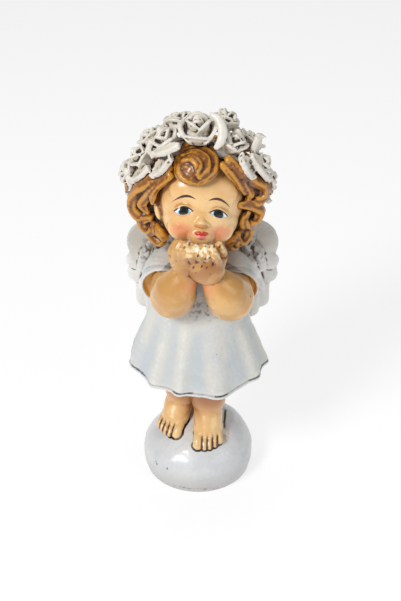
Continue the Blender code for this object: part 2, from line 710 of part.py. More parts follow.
FRONT_ROSES = (  # roses that face the viewer on the figure's sheet, and their share of the rose radius
    (0.6, -4.0, 122.1, 1.07),
    (-10.2, -3.4, 118.7, 0.79),
    (11.8, -3.6, 117.9, 0.83),
    (-17.8, -2.6, 111.5, 0.81),
    (20.6, -1.2, 109.5, 0.76),
    (8.8, 4.6, 121.5, 0.79),
    (23.2, 1.6, 102.7, 0.72),
    (-23.0, 0.6, 104.1, 0.69),
    (-6.4, 4.6, 120.9, 0.76),
    (-15.6, 3.6, 115.1, 0.72),
    (17.2, 4.0, 114.7, 0.72),
)
FRONT_LEAVES = (  # root, tip, half width
    ((-4.6, -9.2, 118.7), (-14.4, -8.0, 115.1), 2.4),
    ((-6.8, -10.2, 115.3), (-14.1, -9.0, 107.9), 3.0),
    ((-14.4, -6.8, 109.5), (-21.2, -3.4, 103.1), 2.5),
    ((-22.6, -1.0, 106.5), (-21.4, -2.6, 99.1), 2.7),
    ((13.6, -9.2, 116.1), (18.6, -8.2, 108.1), 2.8),
    ((16.8, -6.6, 114.9), (24.4, -2.6, 104.5), 3.3),
    ((17.2, -2.4, 114.1), (20.2, -1.6, 120.5), 2.3),
    ((-15.6, -4.0, 112.5), (-14.0, -4.6, 118.5), 2.0),
)
CRESCENT = (
    (5.6, -9.6, 117.9),
    (8.0, -8.6, 120.9),
    (8.6, -7.0, 124.1),
    (7.2, -5.2, 126.9),
    (4.6, -4.0, 128.3),
)
FRONT_SPINS = (0, 25, -15, 40, -35, 60, 10, -20, 50, 15, 70)


def wreath(clay):
    """A band of foliage with roses all round and leaves on both edges."""
    band = []
    for i in range(36):
        place, out = wreath_frame(i * 10)
        sink = 1.6 + 1.5 * max(0, math.cos(math.radians(i * 10))) ** 4
        band.append((place - out * WREATH_BAND * sink, out))
    for (place, out), (after, _) in zip(band, band[1:] + band[:1]):
        tube(clay, [place, after], [WREATH_BAND, WREATH_BAND], up=out, sides=10, steps=2)
    middle = spot(*HEAD_CENTRE)
    for (x, y, z, share), spin in zip(FRONT_ROSES, FRONT_SPINS):
        place = spot(x, y, z)
        axis = (place - middle).normalized() + Vector((0, -0.02, 0.12))
        rose(clay, place - axis * ROSE_RADIUS * 0.086, axis, ROSE_RADIUS * share, spin)
    for root, tip, half in FRONT_LEAVES:
        root, tip = spot(*root), spot(*tip)
        leaf(clay, root, tip, ((root + tip) / 2 - middle).normalized(), LEAF_WIDTH / 5.6 * half)
    widths = [PETAL_THICKNESS * w for w in (0.9, 1.2, 1.4, 1.1, 0.7)]
    tube(clay, [spot(*p) for p in CRESCENT], widths, 0.75, (0.2, -0.8, 0.5), sides=12)
    for i in range(4, 9):
        place, out = wreath_frame(360 * i / ROSES + 4 * math.sin(i * 2.4))
        radius = ROSE_RADIUS * (1 + 0.06 * math.sin(i * 1.7))
        rose(clay, place - out * ROSE_RADIUS * 0.086, out, radius, 40 * i)
    for i in range(ROSES):
        angle = 360 * (i + 0.5) / ROSES
        place, out = wreath_frame(angle)
        ahead = (wreath_frame(angle + 6)[0] - wreath_frame(angle - 6)[0]).normalized()
        edge = out.cross(ahead).normalized()
        for sign in (-1, 1):
            heading = (edge * sign + ahead * 0.55 * (-1) ** i + out * 0.12).normalized()
            if heading.y < 0 and math.cos(math.radians(angle)) > 0.1:
                continue
            scale = 0.92 + 0.08 * math.sin(i * 3)
            root = place - out * WREATH_BAND * 0.3
            leaf(clay, root, root + heading * LEAF_LENGTH * scale, out, LEAF_WIDTH * scale / 2)


# The wings


def feather(clay, root, tip, half_width, side, thick=1.0):
    """A broad rounded feather from root to tip."""
    middle = root.lerp(tip, 0.55)
    tube(
        clay,
        [root, middle, tip],
        [half_width * 0.7, half_width, half_width * 0.8],
        flat=FEATHER_THICKNESS * thick / 2 / half_width,
        up=Vector((math.sin(WING_SWEEP) * -side, 1, 0)),
        sides=14,
    )


FRONT_FEATHERS = ((66.5, 4, 8.0), (62.5, 4, 9.6), (58.5, 4, 8.0), (54.0, 4, 9.4), (49.5, 3, 8.2))


def wings(clay):
    """Two short wings: a round top, two scallops at the outer edge and long feathers below."""
    reach = WING_SPAN / 2 / 29.0  # one unit of the sheet along a wing
    for side in (-1, 1):

        def at(x, y, z):
            back = (x - 6) * math.tan(WING_SWEEP) * 0.9
            lift = 2.0 if side > 0 else 0.0  # the right wing stands a little higher
            return spot(0.6, 10.2 + y + back, z + lift) + Vector((side * x * reach, 0, 0))

        thick = WING_THICKNESS / 2
        blob(clay, at(16.5, 0.4, 67), (10.6 * reach, thick, 11.0 * UNIT), (0, side * 24, side * 12), 26)
        blob(clay, at(9.5, 0, 58), (7.0 * reach, thick, 11.0 * UNIT), (0, side * 10, side * 10), 22)
        blob(clay, at(19.0, 1.0, 58), (8.0 * reach, thick * 0.8, 9.0 * UNIT), (0, side * -10, side * 12), 22)
        for x, z, wide, y in ((24.0, 60.0, 4.6, -0.6), (23.2, 54.0, 5.2, 0.2)):
            feather(clay, at(x - 5.5, y, z + 3.4), at(x, y, z), wide * UNIT, side, 1.15)
        for x_root, z_root, x_tip, z_tip, wide, y in (
            (20.0, 58, 21.5, 42.0, 3.9, 1.0),
            (16.5, 58, 18.0, 38.5, 4.0, 0.2),
            (13.0, 57, 13.8, 36.0, 4.0, -0.6),
            (9.0, 56, 9.4, 35.0, 4.0, -1.2),
        ):
            feather(clay, at(x_root, y, z_root), at(x_tip, y, z_tip), wide * UNIT, side, 1.25)
        for row, (z, count, y) in enumerate(((64, 4, 1.9), (57, 4, 1.6))):
            for i in range(count):
                x = 8 + 4.6 * i + row * 0.8
                drop = 1.2 * i if row else -0.8 * i
                root, tip = at(x, y, z + 4 - drop), at(x + 0.8, y + 0.5, z - 3 - drop)
                feather(clay, root, tip, 2.7 * UNIT, side, 0.9)
        for row, (z, count, first) in enumerate(FRONT_FEATHERS):
            for i in range(count):
                x = first + 3.7 * i + 0.5 * math.sin(3 * i + row)
                drop = 0.5 * i + 0.8 * math.sin(2.3 * i + 2 * row)
                root, tip = at(x, -2.1, z + 3 - drop), at(x + 1.4, -2.5, z - 2.2 - drop)
                feather(clay, root, tip, (1.9 + 0.3 * math.sin(5 * i + row)) * UNIT, side, 0.85)


# The casting


def outer_skin(bm):
    """Keeps the outer skin and drops the small closed shells left in hollows inside the casting."""
    left = set(bm.verts)
    shells = []
    while left:
        shell, edge = set(), [next(iter(left))]
        while edge:
            v = edge.pop()
            if v in shell:
                continue
            shell.add(v)
            edge += [e.other_vert(v) for e in v.link_edges]
        left -= shell
        shells.append(shell)
    shells.sort(key=len)
    bmesh.ops.delete(bm, geom=[v for shell in shells[:-1] for v in shell], context="VERTS")


def evaluated(obj):
    """The object's mesh with its modifiers applied."""
    graph = bpy.context.evaluated_depsgraph_get()
    return bpy.data.meshes.new_from_object(obj.evaluated_get(graph))


def cast(name, *forms):
    """Fuses the forms into one solid, thins its mesh and cuts its underside flat."""
    bm = bmesh.new()
    for form in forms:
        form(bm)
    mesh = bpy.data.meshes.new(name)
    bm.to_mesh(mesh)
    bm.free()
    figure = bpy.data.objects.new(name, mesh)
    bpy.context.scene.collection.objects.link(figure)

    fuse = figure.modifiers.new("fuse", "REMESH")
    fuse.mode = "VOXEL"
    fuse.voxel_size = CAST_GRAIN
    soften = figure.modifiers.new("soften", "SMOOTH")
    soften.factor = 0.5
    soften.iterations = 1
    figure.data = evaluated(figure)
    figure.modifiers.clear()

    bm = bmesh.new()
    bm.from_mesh(figure.data)
    outer_skin(bm)
    bmesh.ops.triangulate(bm, faces=bm.faces)
    count = len(bm.faces)
    bm.to_mesh(figure.data)
    bm.free()

    thin = figure.modifiers.new("thin", "DECIMATE")
    thin.ratio = TRIANGLES / count
    figure.data = evaluated(figure)
    figure.modifiers.clear()

    bm = bmesh.new()
    bm.from_mesh(figure.data)
    geom = bm.verts[:] + bm.edges[:] + bm.faces[:]
    cut = bmesh.ops.bisect_plane(bm, geom=geom, plane_co=(0, 0, 0), plane_no=(0, 0, 1), clear_inner=True)
    edges = [g for g in cut["geom_cut"] if isinstance(g, bmesh.types.BMEdge)]
    bmesh.ops.holes_fill(bm, edges=edges, sides=0)
    bmesh.ops.triangulate(bm, faces=bm.faces)
    bmesh.ops.recalc_face_normals(bm, faces=bm.faces)
    bm.to_mesh(figure.data)
    bm.free()
    return figure


def resin():
    """White painted resin, slightly glossy."""
    material = bpy.data.materials.new("painted_resin")
    material.use_nodes = True
    shader = material.node_tree.nodes["Principled BSDF"]
    shader.inputs["Base Color"].default_value = (0.80, 0.78, 0.76, 1)
    shader.inputs["Roughness"].default_value = 0.35
    shader.inputs["Metallic"].default_value = 0.0
    return material


def main():
    for obj in list(bpy.data.objects):
        bpy.data.objects.remove(obj)
    figure = cast("angel_figurine", stone, legs, dress, sleeves, arms, hands, face, hair, wreath, wings)
    figure.data.materials.clear()
    figure.data.materials.append(resin())
    figure.data.shade_smooth()
    figure.data.set_sharp_from_angle(angle=math.radians(50))


main()
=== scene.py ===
import math

import bmesh
import bpy
import numpy as np
from mathutils import Euler, Matrix, Vector, noise
from mathutils.bvhtree import BVHTree


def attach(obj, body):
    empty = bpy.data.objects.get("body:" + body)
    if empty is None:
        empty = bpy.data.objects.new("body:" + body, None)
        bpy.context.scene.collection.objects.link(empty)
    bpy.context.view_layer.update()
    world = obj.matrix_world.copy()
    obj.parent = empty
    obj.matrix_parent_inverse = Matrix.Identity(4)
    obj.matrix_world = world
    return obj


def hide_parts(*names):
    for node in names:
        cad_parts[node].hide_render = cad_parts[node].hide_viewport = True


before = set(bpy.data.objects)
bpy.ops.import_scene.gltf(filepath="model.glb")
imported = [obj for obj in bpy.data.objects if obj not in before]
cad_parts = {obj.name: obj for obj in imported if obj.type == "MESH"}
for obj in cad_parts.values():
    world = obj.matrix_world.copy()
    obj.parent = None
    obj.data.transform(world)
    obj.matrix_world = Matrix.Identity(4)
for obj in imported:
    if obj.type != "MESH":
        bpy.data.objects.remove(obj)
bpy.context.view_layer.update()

# The forms are drawn in millimetres and each finished mesh is brought to metres at the end.
mm = 0.001
footHeight = 23.5  # where the figure's own sheet of measures starts above the shelf


def spot(x, y, z):
    return Vector((x, y, z + footHeight))


def tint(*levels):
    shares = [level / 255 for level in levels]
    return tuple(c / 12.92 if c <= 0.04045 else ((c + 0.055) / 1.055) ** 2.4 for c in shares)


# Clay forms


def pour(clay, form):
    mesh = bpy.data.meshes.new("form")
    form.to_mesh(mesh)
    form.free()
    clay.from_mesh(mesh)
    bpy.data.meshes.remove(mesh)


def ball(clay, centre, size, turn=(0, 0, 0), rounds=28, place=Matrix()):
    form = bmesh.new()
    angles = Euler([math.radians(a) for a in turn])
    bmesh.ops.create_uvsphere(form, u_segments=rounds, v_segments=rounds * 2 // 3, radius=1)
    form.transform(place @ Matrix.LocRotScale(Vector(centre), angles, Vector(size)))
    pour(clay, form)


def turnedTo(centre, side, ahead):
    return Matrix.Translation(centre) @ Matrix((side, ahead.cross(side), ahead)).transposed().to_4x4()


def section(centre, halfWidth, halfHeight, heading, up):
    ahead = heading.normalized()
    side = up.cross(ahead).normalized()
    return turnedTo(centre, side, ahead) @ Matrix.Diagonal((halfWidth, halfHeight, 1, 1))


def loft(clay, sections, sides=20, shape=None, strands=(0, 0)):
    # strands is how many ridges run along the skin, and how deep the grooves between them are
    form = bmesh.new()
    ring = bmesh.ops.create_circle(form, cap_ends=True, segments=sides, radius=1)["verts"]
    count, depth = strands
    for v in ring:
        v.co *= 1 - depth * (0.5 - 0.5 * math.cos(count * math.atan2(v.co.y, v.co.x)))
    bmesh.ops.transform(form, matrix=sections[0], verts=ring)
    edges = form.edges[:]
    for before, after in zip(sections, sections[1:]):
        grown = bmesh.ops.extrude_edge_only(form, edges=edges)["geom"]
        ring = [g for g in grown if isinstance(g, bmesh.types.BMVert)]
        edges = [g for g in grown if isinstance(g, bmesh.types.BMEdge) and g.is_boundary]
        bmesh.ops.transform(form, matrix=after @ before.inverted(), verts=ring)
    bmesh.ops.contextual_create(form, geom=edges)
    bmesh.ops.recalc_face_normals(form, faces=form.faces)
    if shape:
        shape(form.verts)
    pour(clay, form)


def smoothPath(points, steps):
    given = [np.array(p, float) for p in points]
    given = [2 * given[0] - given[1], *given, 2 * given[-1] - given[-2]]
    path = []
    for i in range(1, len(given) - 2):
        a, b, c, d = given[i - 1 : i + 3]
        for t in np.linspace(0, 1, steps, endpoint=False):
            bend, twist = 2 * a - 5 * b + 4 * c - d, 3 * b - a - 3 * c + d
            path.append(0.5 * (2 * b + (c - a) * t + bend * t**2 + twist * t**3))
    path.append(given[-2])
    return [Vector(p) for p in path]


def limb(clay, points, radii, flat=1.0, up=(0, 0, 1), sides=20, steps=6, strands=(0, 0), twist=0.0):
    path = smoothPath(points, steps)
    widths = np.interp(np.linspace(0, 1, len(path)), np.linspace(0, 1, len(radii)), radii)
    up = Vector(up)
    headings = [(b - a).normalized() for a, b in zip(path[:1] + path[:-1], path[1:] + path[-1:])]
    rows = [(0, angle) for angle in (-80, -60, -40, -20)]
    rows += [(i, 0) for i in range(len(path))]
    rows += [(-1, angle) for angle in (20, 40, 60, 80)]
    sections = []
    for k, (i, angle) in enumerate(rows):
        beyond, r = widths[i] * math.sin(math.radians(angle)), widths[i] * math.cos(math.radians(angle))
        spun = Matrix.Rotation(math.radians(twist * k / len(rows)), 4, "Z")
        sections.append(section(path[i] + headings[i] * beyond, r, r * flat, headings[i], up) @ spun)
    loft(clay, sections, sides, strands=strands)


def plate(clay, outline, thickness, place, across=12, along=12):
    form = bmesh.new()
    bmesh.ops.create_grid(form, x_segments=across, y_segments=along, size=1)
    for v in form.verts:
        v.co = outline(v.co.x, v.co.y)
    form.normal_update()
    bmesh.ops.solidify(form, geom=form.faces[:], thickness=thickness)
    bmesh.ops.recalc_face_normals(form, faces=form.faces)
    bmesh.ops.transform(form, matrix=place, verts=form.verts)
    pour(clay, form)


# Casting: clay forms fused into one skin, with the closed shells inside it left out


def outerSkin(form):
    left = set(form.verts)
    shells = []
    while left:
        shell, edge = set(), [next(iter(left))]
        while edge:
            v = edge.pop()
            if v not in shell:
                shell.add(v)
                edge += [e.other_vert(v) for e in v.link_edges]
        left -= shell
        shells.append(shell)
    shells.sort(key=len)
    bmesh.ops.delete(form, geom=[v for shell in shells[:-1] for v in shell], context="VERTS")


def evaluated(piece):
    graph = bpy.context.evaluated_depsgraph_get()
    return bpy.data.meshes.new_from_object(piece.evaluated_get(graph))


def fuse(name, *forms, grain, soften=2, keepAll=False, flatAt=None, rough=0.12):
    # grain is the voxel that fuses the clay, rough how far the finished skin wavers
    clay = bmesh.new()
    for form in forms:
        form(clay)
    mesh = bpy.data.meshes.new(name)
    clay.to_mesh(mesh)
    clay.free()
    piece = bpy.data.objects.new(name, mesh)
    bpy.context.scene.collection.objects.link(piece)
    skin = piece.modifiers.new("fuse", "REMESH")
    skin.mode = "VOXEL"
    skin.voxel_size = grain
    even = piece.modifiers.new("soften", "SMOOTH")
    even.factor = 0.5
    even.iterations = soften
    piece.data = evaluated(piece)
    piece.modifiers.clear()
    form = bmesh.new()
    form.from_mesh(piece.data)
    if not keepAll:
        outerSkin(form)
    if flatAt is not None:
        geom = form.verts[:] + form.edges[:] + form.faces[:]
        plane = {"plane_co": (0, 0, flatAt), "plane_no": (0, 0, 1)}
        cut = bmesh.ops.bisect_plane(form, geom=geom, clear_inner=True, **plane)
        edges = [g for g in cut["geom_cut"] if isinstance(g, bmesh.types.BMEdge)]
        bmesh.ops.holes_fill(form, edges=edges, sides=0)
    bmesh.ops.recalc_face_normals(form, faces=form.faces)
    form.normal_update()
    for v in form.verts:  # the uneven surface of a thing modelled by hand
        wave = noise.noise(v.co * 0.22) + 0.35 * noise.noise(v.co * 0.75) + 0.15 * noise.noise(v.co * 2.1)
        if v.co.z > 0.5:
            v.co += v.normal * wave * rough
    form.to_mesh(piece.data)
    form.free()
    piece.data.shade_smooth()
    print(name, "fused,", len(piece.data.polygons), "faces")
    return piece


# The stone

stone = {
    "width": 42.4,
    "depth": 41.0,
    "height": 21.5,
    "waist": 7.0,
    "belly": 16.0,
    "squareness": 2.2,
    "taper": 0.18,  # how much narrower the top is, as a share
    "heap": 0.22,  # how much higher the back right stands, as a share
    "lean": 1.0,  # how far the top shifts to the right
    "lip": 0.8,
    "lipHeight": 1.4,
}


def stoneForm(clay):
    half = Vector((stone["width"] / 2, stone["depth"] / 2, stone["height"] - stone["waist"]))
    power = stone["squareness"]
    form = bmesh.new()
    bmesh.ops.create_uvsphere(form, u_segments=96, v_segments=64, radius=1)
    for v in form.verts:
        v.co /= sum(abs(c) ** power for c in v.co) ** (1 / power)
        reach = half.z if v.co.z > 0 else stone["belly"]
        rise = max(v.co.z, 0)
        narrow = 1 - stone["taper"] * rise**1.5
        heap = 1 + stone["heap"] * rise * (0.5 * v.co.x + 0.5 * v.co.y)
        x = v.co.x * half.x * narrow + stone["lean"] * rise**2
        v.co = Vector((x, v.co.y * half.y, v.co.z * reach * heap + stone["waist"]))
    rim = (1 - (stone["waist"] / stone["belly"]) ** power) ** (1 / power)
    pour(clay, form)
    sections = []
    for share, lip in ((1, -1), (1, stone["lip"] * 0.6), (0.6, stone["lip"]), (-1, stone["lip"])):
        level = Matrix.Translation((0, 0, stone["lipHeight"] * share))
        sections.append(level @ Matrix.Diagonal((half.x * rim + lip, half.y * rim + lip, -1, 1)))
    loft(clay, sections, sides=72)


# Legs and feet

legs = {
    "leg": 6.5,
    "ankle": 5.3,
    "footLength": 18.0,
    "footWidth": 12.0,
    "slope": 16.0,  # how steeply the feet point down, in degrees
    "ankles": ((-6.8, 4.6, 4.3, -0.36, 1), (4.1, -1.4, 4.2, 0.04, -1)),  # place, turn, side of the big toe
    "toes": (  # place across the foot from its middle, thickness, reach
        (3.75, 1.85, 3.5),
        (1.15, 1.18, 3.8),
        (-0.95, 1.14, 3.5),
        (-2.95, 1.10, 2.9),
        (-4.75, 1.05, 2.1),
    ),
}
slits = []  # where the dark lines between the toes run


def footForm(clay, ankle, turn):
    slope = math.radians(legs["slope"])
    along = Vector((math.sin(turn), -math.cos(turn), -math.tan(slope))).normalized()
    side = Vector((math.cos(turn), math.sin(turn), 0))
    up = side.cross(along) * -1
    length, w = legs["footLength"], legs["footWidth"] / 2
    heel = ankle - along * length * 0.06 - up * legs["ankle"] * 0.80
    ballOfFoot = heel + along * length * 0.44 + up * 0.3
    arch = heel + along * length * 0.30 + up * length * 0.05
    limb(clay, [heel, arch, ballOfFoot], [w * 0.84, w * 0.90, w * 0.96], 0.60, up, sides=36)
    instep = ankle + along * length * 0.20 - up * legs["ankle"] * 0.26
    toeward = ankle + along * length * 0.42 - up * legs["ankle"] * 0.66
    limb(clay, [ankle, instep, toeward], [legs["ankle"] * 1.02, w * 0.92, w * 0.80], 0.86, up=up, sides=36)
    return ballOfFoot, along, side, up


def toeForms(clay, ballOfFoot, along, side, up, bigSide):
    ends = []
    for across, size, reach in legs["toes"]:
        start = ballOfFoot + side * across * bigSide * 0.94 + along * (4.4 - 0.05 * across**2) - up * 0.1
        tip = start + along * reach - up * 1.3 + side * across * bigSide * 0.04
        middle = (start + tip) / 2 + up * 0.35
        widths = [size * 0.95, size * 0.98, size * 1.06]
        limb(clay, [start - along * 2.5, middle, tip], widths, 1, up)
        nail = tip + along * size * 0.5 + up * size * 0.66
        turned = section(nail, size * 0.55, size * 0.62, up + along * 0.9, along)
        ball(clay, (0, 0, 0), (1, 1, 0.3), rounds=14, place=turned)
        ends.append((start, tip + along * size, size))
    for (startA, tipA, sizeA), (startB, tipB, sizeB) in zip(ends, ends[1:]):
        share = sizeA / (sizeA + sizeB)
        slits.append((startA.lerp(startB, share) - along * 2.2, tipA.lerp(tipB, share), up))


def legForms(clay):
    for x, y, z, turn, bigSide in legs["ankles"]:
        ankle = spot(x, y, z)
        knee = spot(x * 0.86 + 0.7, y * 0.5 - 0.6, 17)
        hip = spot(x * 0.80 + 0.7, y * 0.3, 34)
        shin = ankle.lerp(knee, 0.28) + Vector((0, -0.4, 0))
        widths = [legs["ankle"] * 0.95, legs["leg"] * 1.0, legs["leg"] * 1.04, legs["leg"] * 1.06]
        limb(clay, [ankle, shin, knee, hip], widths, up=(0, 1, 0), sides=36)
        toeForms(clay, *footForm(clay, ankle, turn), bigSide)


# The dress

dress = {
    "hemWidth": 50.0,
    "hemDepth": 43.0,
    "pleats": 11,
    "pleatDepth": 1.15,
    "band": 1.9,
    "groove": 0.55,
    "wall": 2.2,
    "recess": 4.5,
    "cuff": 8.1,
    "cuffs": {-1: (-10.9, -8.6, 63.2, 1), 1: (13.6, -8.6, 64.0, 0.96)},  # place, share of the radius
    "sleeve": (  # how far along from shoulder to cuff, share of the cuff's radius
        (-0.10, 0.60),
        (0.05, 0.80),
        (0.20, 0.94),
        (0.35, 1.00),
        (0.55, 1.04),
        (0.72, 1.05),
        (0.78, 1.01),
        (0.82, 1.05),
        (0.92, 1.07),
        (0.98, 1.07),
        (1.00, 1.02),
        (1.00, 0.97),
        (0.88, 0.92),
        (0.80, 0.60),
    ),
    "sections": (  # height, share of the hem's width and depth, forward shift
        (78.0, 0.16, 0.20, 0.5),
        (75.5, 0.27, 0.30, 0.6),
        (72.0, 0.52, 0.42, 0.4),
        (67.5, 0.63, 0.52, 0.0),
        (60.0, 0.64, 0.58, 0.2),
        (52.0, 0.68, 0.64, 0.4),
        (44.0, 0.78, 0.74, 0.2),
        (36.0, 0.90, 0.87, 0.0),
        (32.0, 0.96, 0.95, 0.0),
        (29.0, 1.00, 1.00, 0.0),
    ),
}


def hemDrop(angle):
    ahead, right = -math.sin(angle), math.cos(angle)
    dip = 2.2 * max(0, ahead) ** 2 + 1.2 * max(0, -ahead) ** 2
    return dip + 1.0 * right + 0.45 * math.sin(5 * angle + 0.8)


def pleatWave(angle):
    return np.cos(dress["pleats"] * angle + 0.5 * np.sin(2 * angle) + 1.1 * np.sin(3 * angle))


def dressForm(clay):
    top, low = dress["sections"][0][0], dress["sections"][-1][0]
    w, d = dress["hemWidth"] / 2, dress["hemDepth"] / 2
    band, groove, wall, recess = dress["band"], dress["groove"], dress["wall"], dress["recess"]
    given = dress["sections"]
    heights = np.linspace(top, low, 34)
    rows = []
    for z in heights:
        shares = [np.interp(z, [g[0] for g in given[::-1]], [g[k] for g in given[::-1]]) for k in (1, 2, 3)]
        rows.append((z, w * shares[0], d * shares[1], shares[2]))
    rows += [
        (low - band * 0.15, w - groove, d - groove, 0),
        (low - band * 0.35, w + groove * 0.5, d + groove * 0.5, 0),
        (low - band * 0.85, w + groove * 0.6, d + groove * 0.6, 0),
        (low - band, w - 0.3, d - 0.3, 0),
        (low - band, w - wall, d - wall, 0),
        (low - band + recess, w - wall * 1.8, d - wall * 1.8, 0),
        (low - band + recess * 1.1, w * 0.3, d * 0.3, 0),
    ]
    sections = [
        Matrix.Translation(spot(0, -shift, z)) @ Matrix.Diagonal((a, b, -1, 1)) for z, a, b, shift in rows
    ]

    def fold(verts):
        for v in verts:
            share = (spot(0, 0, top).z - v.co.z) / (top - low)
            share = min(max((share - 0.35) / 0.65, 0), 1)
            angle = math.atan2(v.co.y, v.co.x)
            wave = pleatWave(angle)
            depth = dress["pleatDepth"] * share**1.4 * (0.7 + 0.3 * wave) * wave
            v.co += Vector((math.cos(angle), math.sin(angle), 0)) * depth
            v.co.z -= hemDrop(angle) * share**3

    loft(clay, sections, sides=220, shape=fold)


def cuffPlace(side):
    return spot(*dress["cuffs"][side][:3]), Vector((0.10 * side, -0.96, -0.16)).normalized()


def sleeveForms(clay):
    for side in (-1, 1):
        cuff, facing = cuffPlace(side)
        shoulder = spot(side * 7.6 + (1.2 if side > 0 else 0), 3.4, 68.5)
        start = Vector((0.45 * side, -0.5, -0.30)).normalized()
        wide = dress["cuff"] * dress["cuffs"][side][3]
        sections = []
        for t, r in dress["sleeve"]:
            share = min(max(t, 0), 1)
            centre = shoulder.lerp(cuff, t) + Vector((side * 1.6, 0, -0.4)) * math.sin(math.pi * share)
            heading = start.lerp(facing, share**0.7)
            sections.append(section(centre, wide * r, wide * r * 1.02, heading, Vector((0, 0, 1))))
        loft(clay, sections, sides=48)


# Arms and hands

arms = {
    "arm": 7.3,
    "wrist": 4.5,
    "finger": 1.45,
    "bends": (  # side, elbow, wrist, and how stout the elbow is
        (-1, (-7.6, -14.4, 64.3), (-2.6, -17.8, 76.0), 1.07),
        (1, (12.2, -14.6, 64.9), (6.2, -18.2, 75.8), 1.13),
    ),
    "palms": (  # centre, size, turn
        ((-1.9, -19.0, 80.8), (5.0, 3.8, 6.6), (18, 0, 12)),
        ((4.3, -21.0, 80.4), (6.3, 4.3, 6.4), (14, 0, -8)),
    ),
    "thumbs": (
        ((8.8, -19.4, 81.0), (9.6, -19.8, 85.4), (8.4, -19.2, 88.6)),
        ((-6.0, -18.0, 80.0), (-6.8, -18.6, 84.8), (-5.6, -18.0, 88.2)),
    ),
}


def armForms(clay):
    thick = arms["arm"]
    for side, elbow, wrist, fat in arms["bends"]:
        elbow, wrist = spot(*elbow), spot(*wrist)
        shoulder = spot(side * 9.8 + 1.2, -1.0, 66.0)
        middle = shoulder.lerp(elbow, 0.55) + Vector((side * 0.5, 0, -0.4))
        limb(clay, [shoulder, middle, elbow], [thick * 0.92, thick * 0.98, thick * fat], sides=36)
        middle = elbow.lerp(wrist, 0.42) + Vector((side * 0.6, -1.4, 0))
        limb(clay, [elbow, middle, wrist], [thick * fat, thick * 1.0, arms["wrist"]], up=(0, 1, 0), sides=36)


def handForms(clay):
    r = arms["finger"]
    for centre, size, turn in arms["palms"]:
        ball(clay, spot(*centre), size, turn, 36)
    for i in range(4):  # the hand in front: four short fingers bent over at the top
        share = i / 3
        root = spot(8.4 - 2.6 * i, -23.4 + 0.30 * i, 84.8 - 0.7 * share)
        knuckle = spot(7.5 - 2.6 * i, -24.6 + 0.30 * i, 87.6 - 0.5 * share)
        tip = spot(6.4 - 2.4 * i, -23.0 + 0.3 * i, 89.8 - 0.2 * share)
        limb(clay, [root, knuckle, tip], [r * 1.0, r * 1.02, r * 0.86], sides=18)
    for i in range(3):
        root = spot(-5.8 + 1.6 * i, -20.2 - 0.8 * i, 83.0)
        knuckle = spot(-5.6 + 1.8 * i, -21.2 - 0.9 * i, 87.0)
        tip = spot(-4.2 + 1.7 * i, -20.2 - 0.7 * i, 89.6)
        limb(clay, [root, knuckle, tip], [r * 1.0, r, r * 0.85], sides=18)
    for thumb in arms["thumbs"]:
        limb(clay, [spot(*p) for p in thumb], [r * 1.25, r * 1.3, r * 1.0], sides=18)
    for i in range(12):  # lumps of paint along the fingertips
        x = -3.6 + 1.05 * i + 0.3 * math.sin(7 * i)
        lump = spot(x, -23.2 - 0.5 * math.sin(3 * i), 89.2 + 0.8 * math.sin(5 * i))
        ball(clay, lump, (0.9, 0.8, 0.75), rounds=10)


# The head, drawn in a frame of its own with the face towards -Y

head = {
    "radius": 16.0,
    "centre": (1.3, -1.0, 96.5),
    "turn": (-20.0, 5.0, 5.5),  # looking up, leaning to one side, turned to one side
    "neck": 6.5,
    "masses": (  # centre, size and rounds of skull, jaw, chin, throat, brow, upper lip and lower lip
        ((0, 0.5, 0.5), (15.2, 15.2, 15.8), 56),
        ((0, -3.6, -6.0), (12.8, 11.2, 10.6), 48),
        ((0, -11.8, -10.8), (4.6, 3.2, 3.6), 28),
        ((0, -10.4, -14.0), (3.8, 3.4, 3.0), 28),
        ((0, -9.9, 3.4), (11.4, 4.8, 7.8), 48),
        ((0, -14.9, -9.75), (2.2, 0.95, 0.62), 28),
        ((0, -14.6, -11.2), (1.8, 0.95, 0.75), 28),
    ),
    # cheek, nostril, eyeball, ear: distance from the middle, shift, depth, height, size, turn, rounds
    "pairs": (
        (5.4, 0, -7.9, -8.6, (5.9, 5.2, 5.6), (0, 0), 40),
        (1.45, 0, -14.8, -6.9, (1.15, 1.2, 0.95), (0, 0), 28),
        (5.8, -0.4, -12.3, -3.2, (3.3, 1.95, 2.1), (0, 0), 28),
        (13.8, 0, -1.6, -4.8, (1.7, 2.9, 4.0), (12, 20), 28),
    ),
    "bridge": ((-0.3, -13.1, -3.2), (-0.3, -14.0, -5.0), (-0.3, -15.5, -6.5)),
    "lid": (-3.3, -2.0, -0.6, 0.8, 2.2, 3.4),  # points along the upper lid, from the middle of the eye
}
headTurn = Euler([math.radians(a) for a in head["turn"]]).to_matrix().to_4x4()
headPlace = Matrix.Translation(spot(*head["centre"])) @ headTurn


features = {
    "eye": (5.8, -3.3, -0.55, 0.03),  # outwards, up, shift to one side, tilt
    "brow": tint(70, 26, 26),
    "lash": tint(24, 14, 16),
    "white": tint(246, 244, 240),
    "blue": tint(122, 200, 238),
    "crease": tint(208, 150, 82),
    "upperLip": tint(214, 66, 44),
    "lowerLip": tint(238, 128, 128),
    "parting": tint(150, 30, 24),
    "pupil": tint(8, 6, 8),
    "corner": tint(120, 60, 40),
    "nose": tint(196, 128, 58),
    "hairline": tint(150, 92, 44),
}


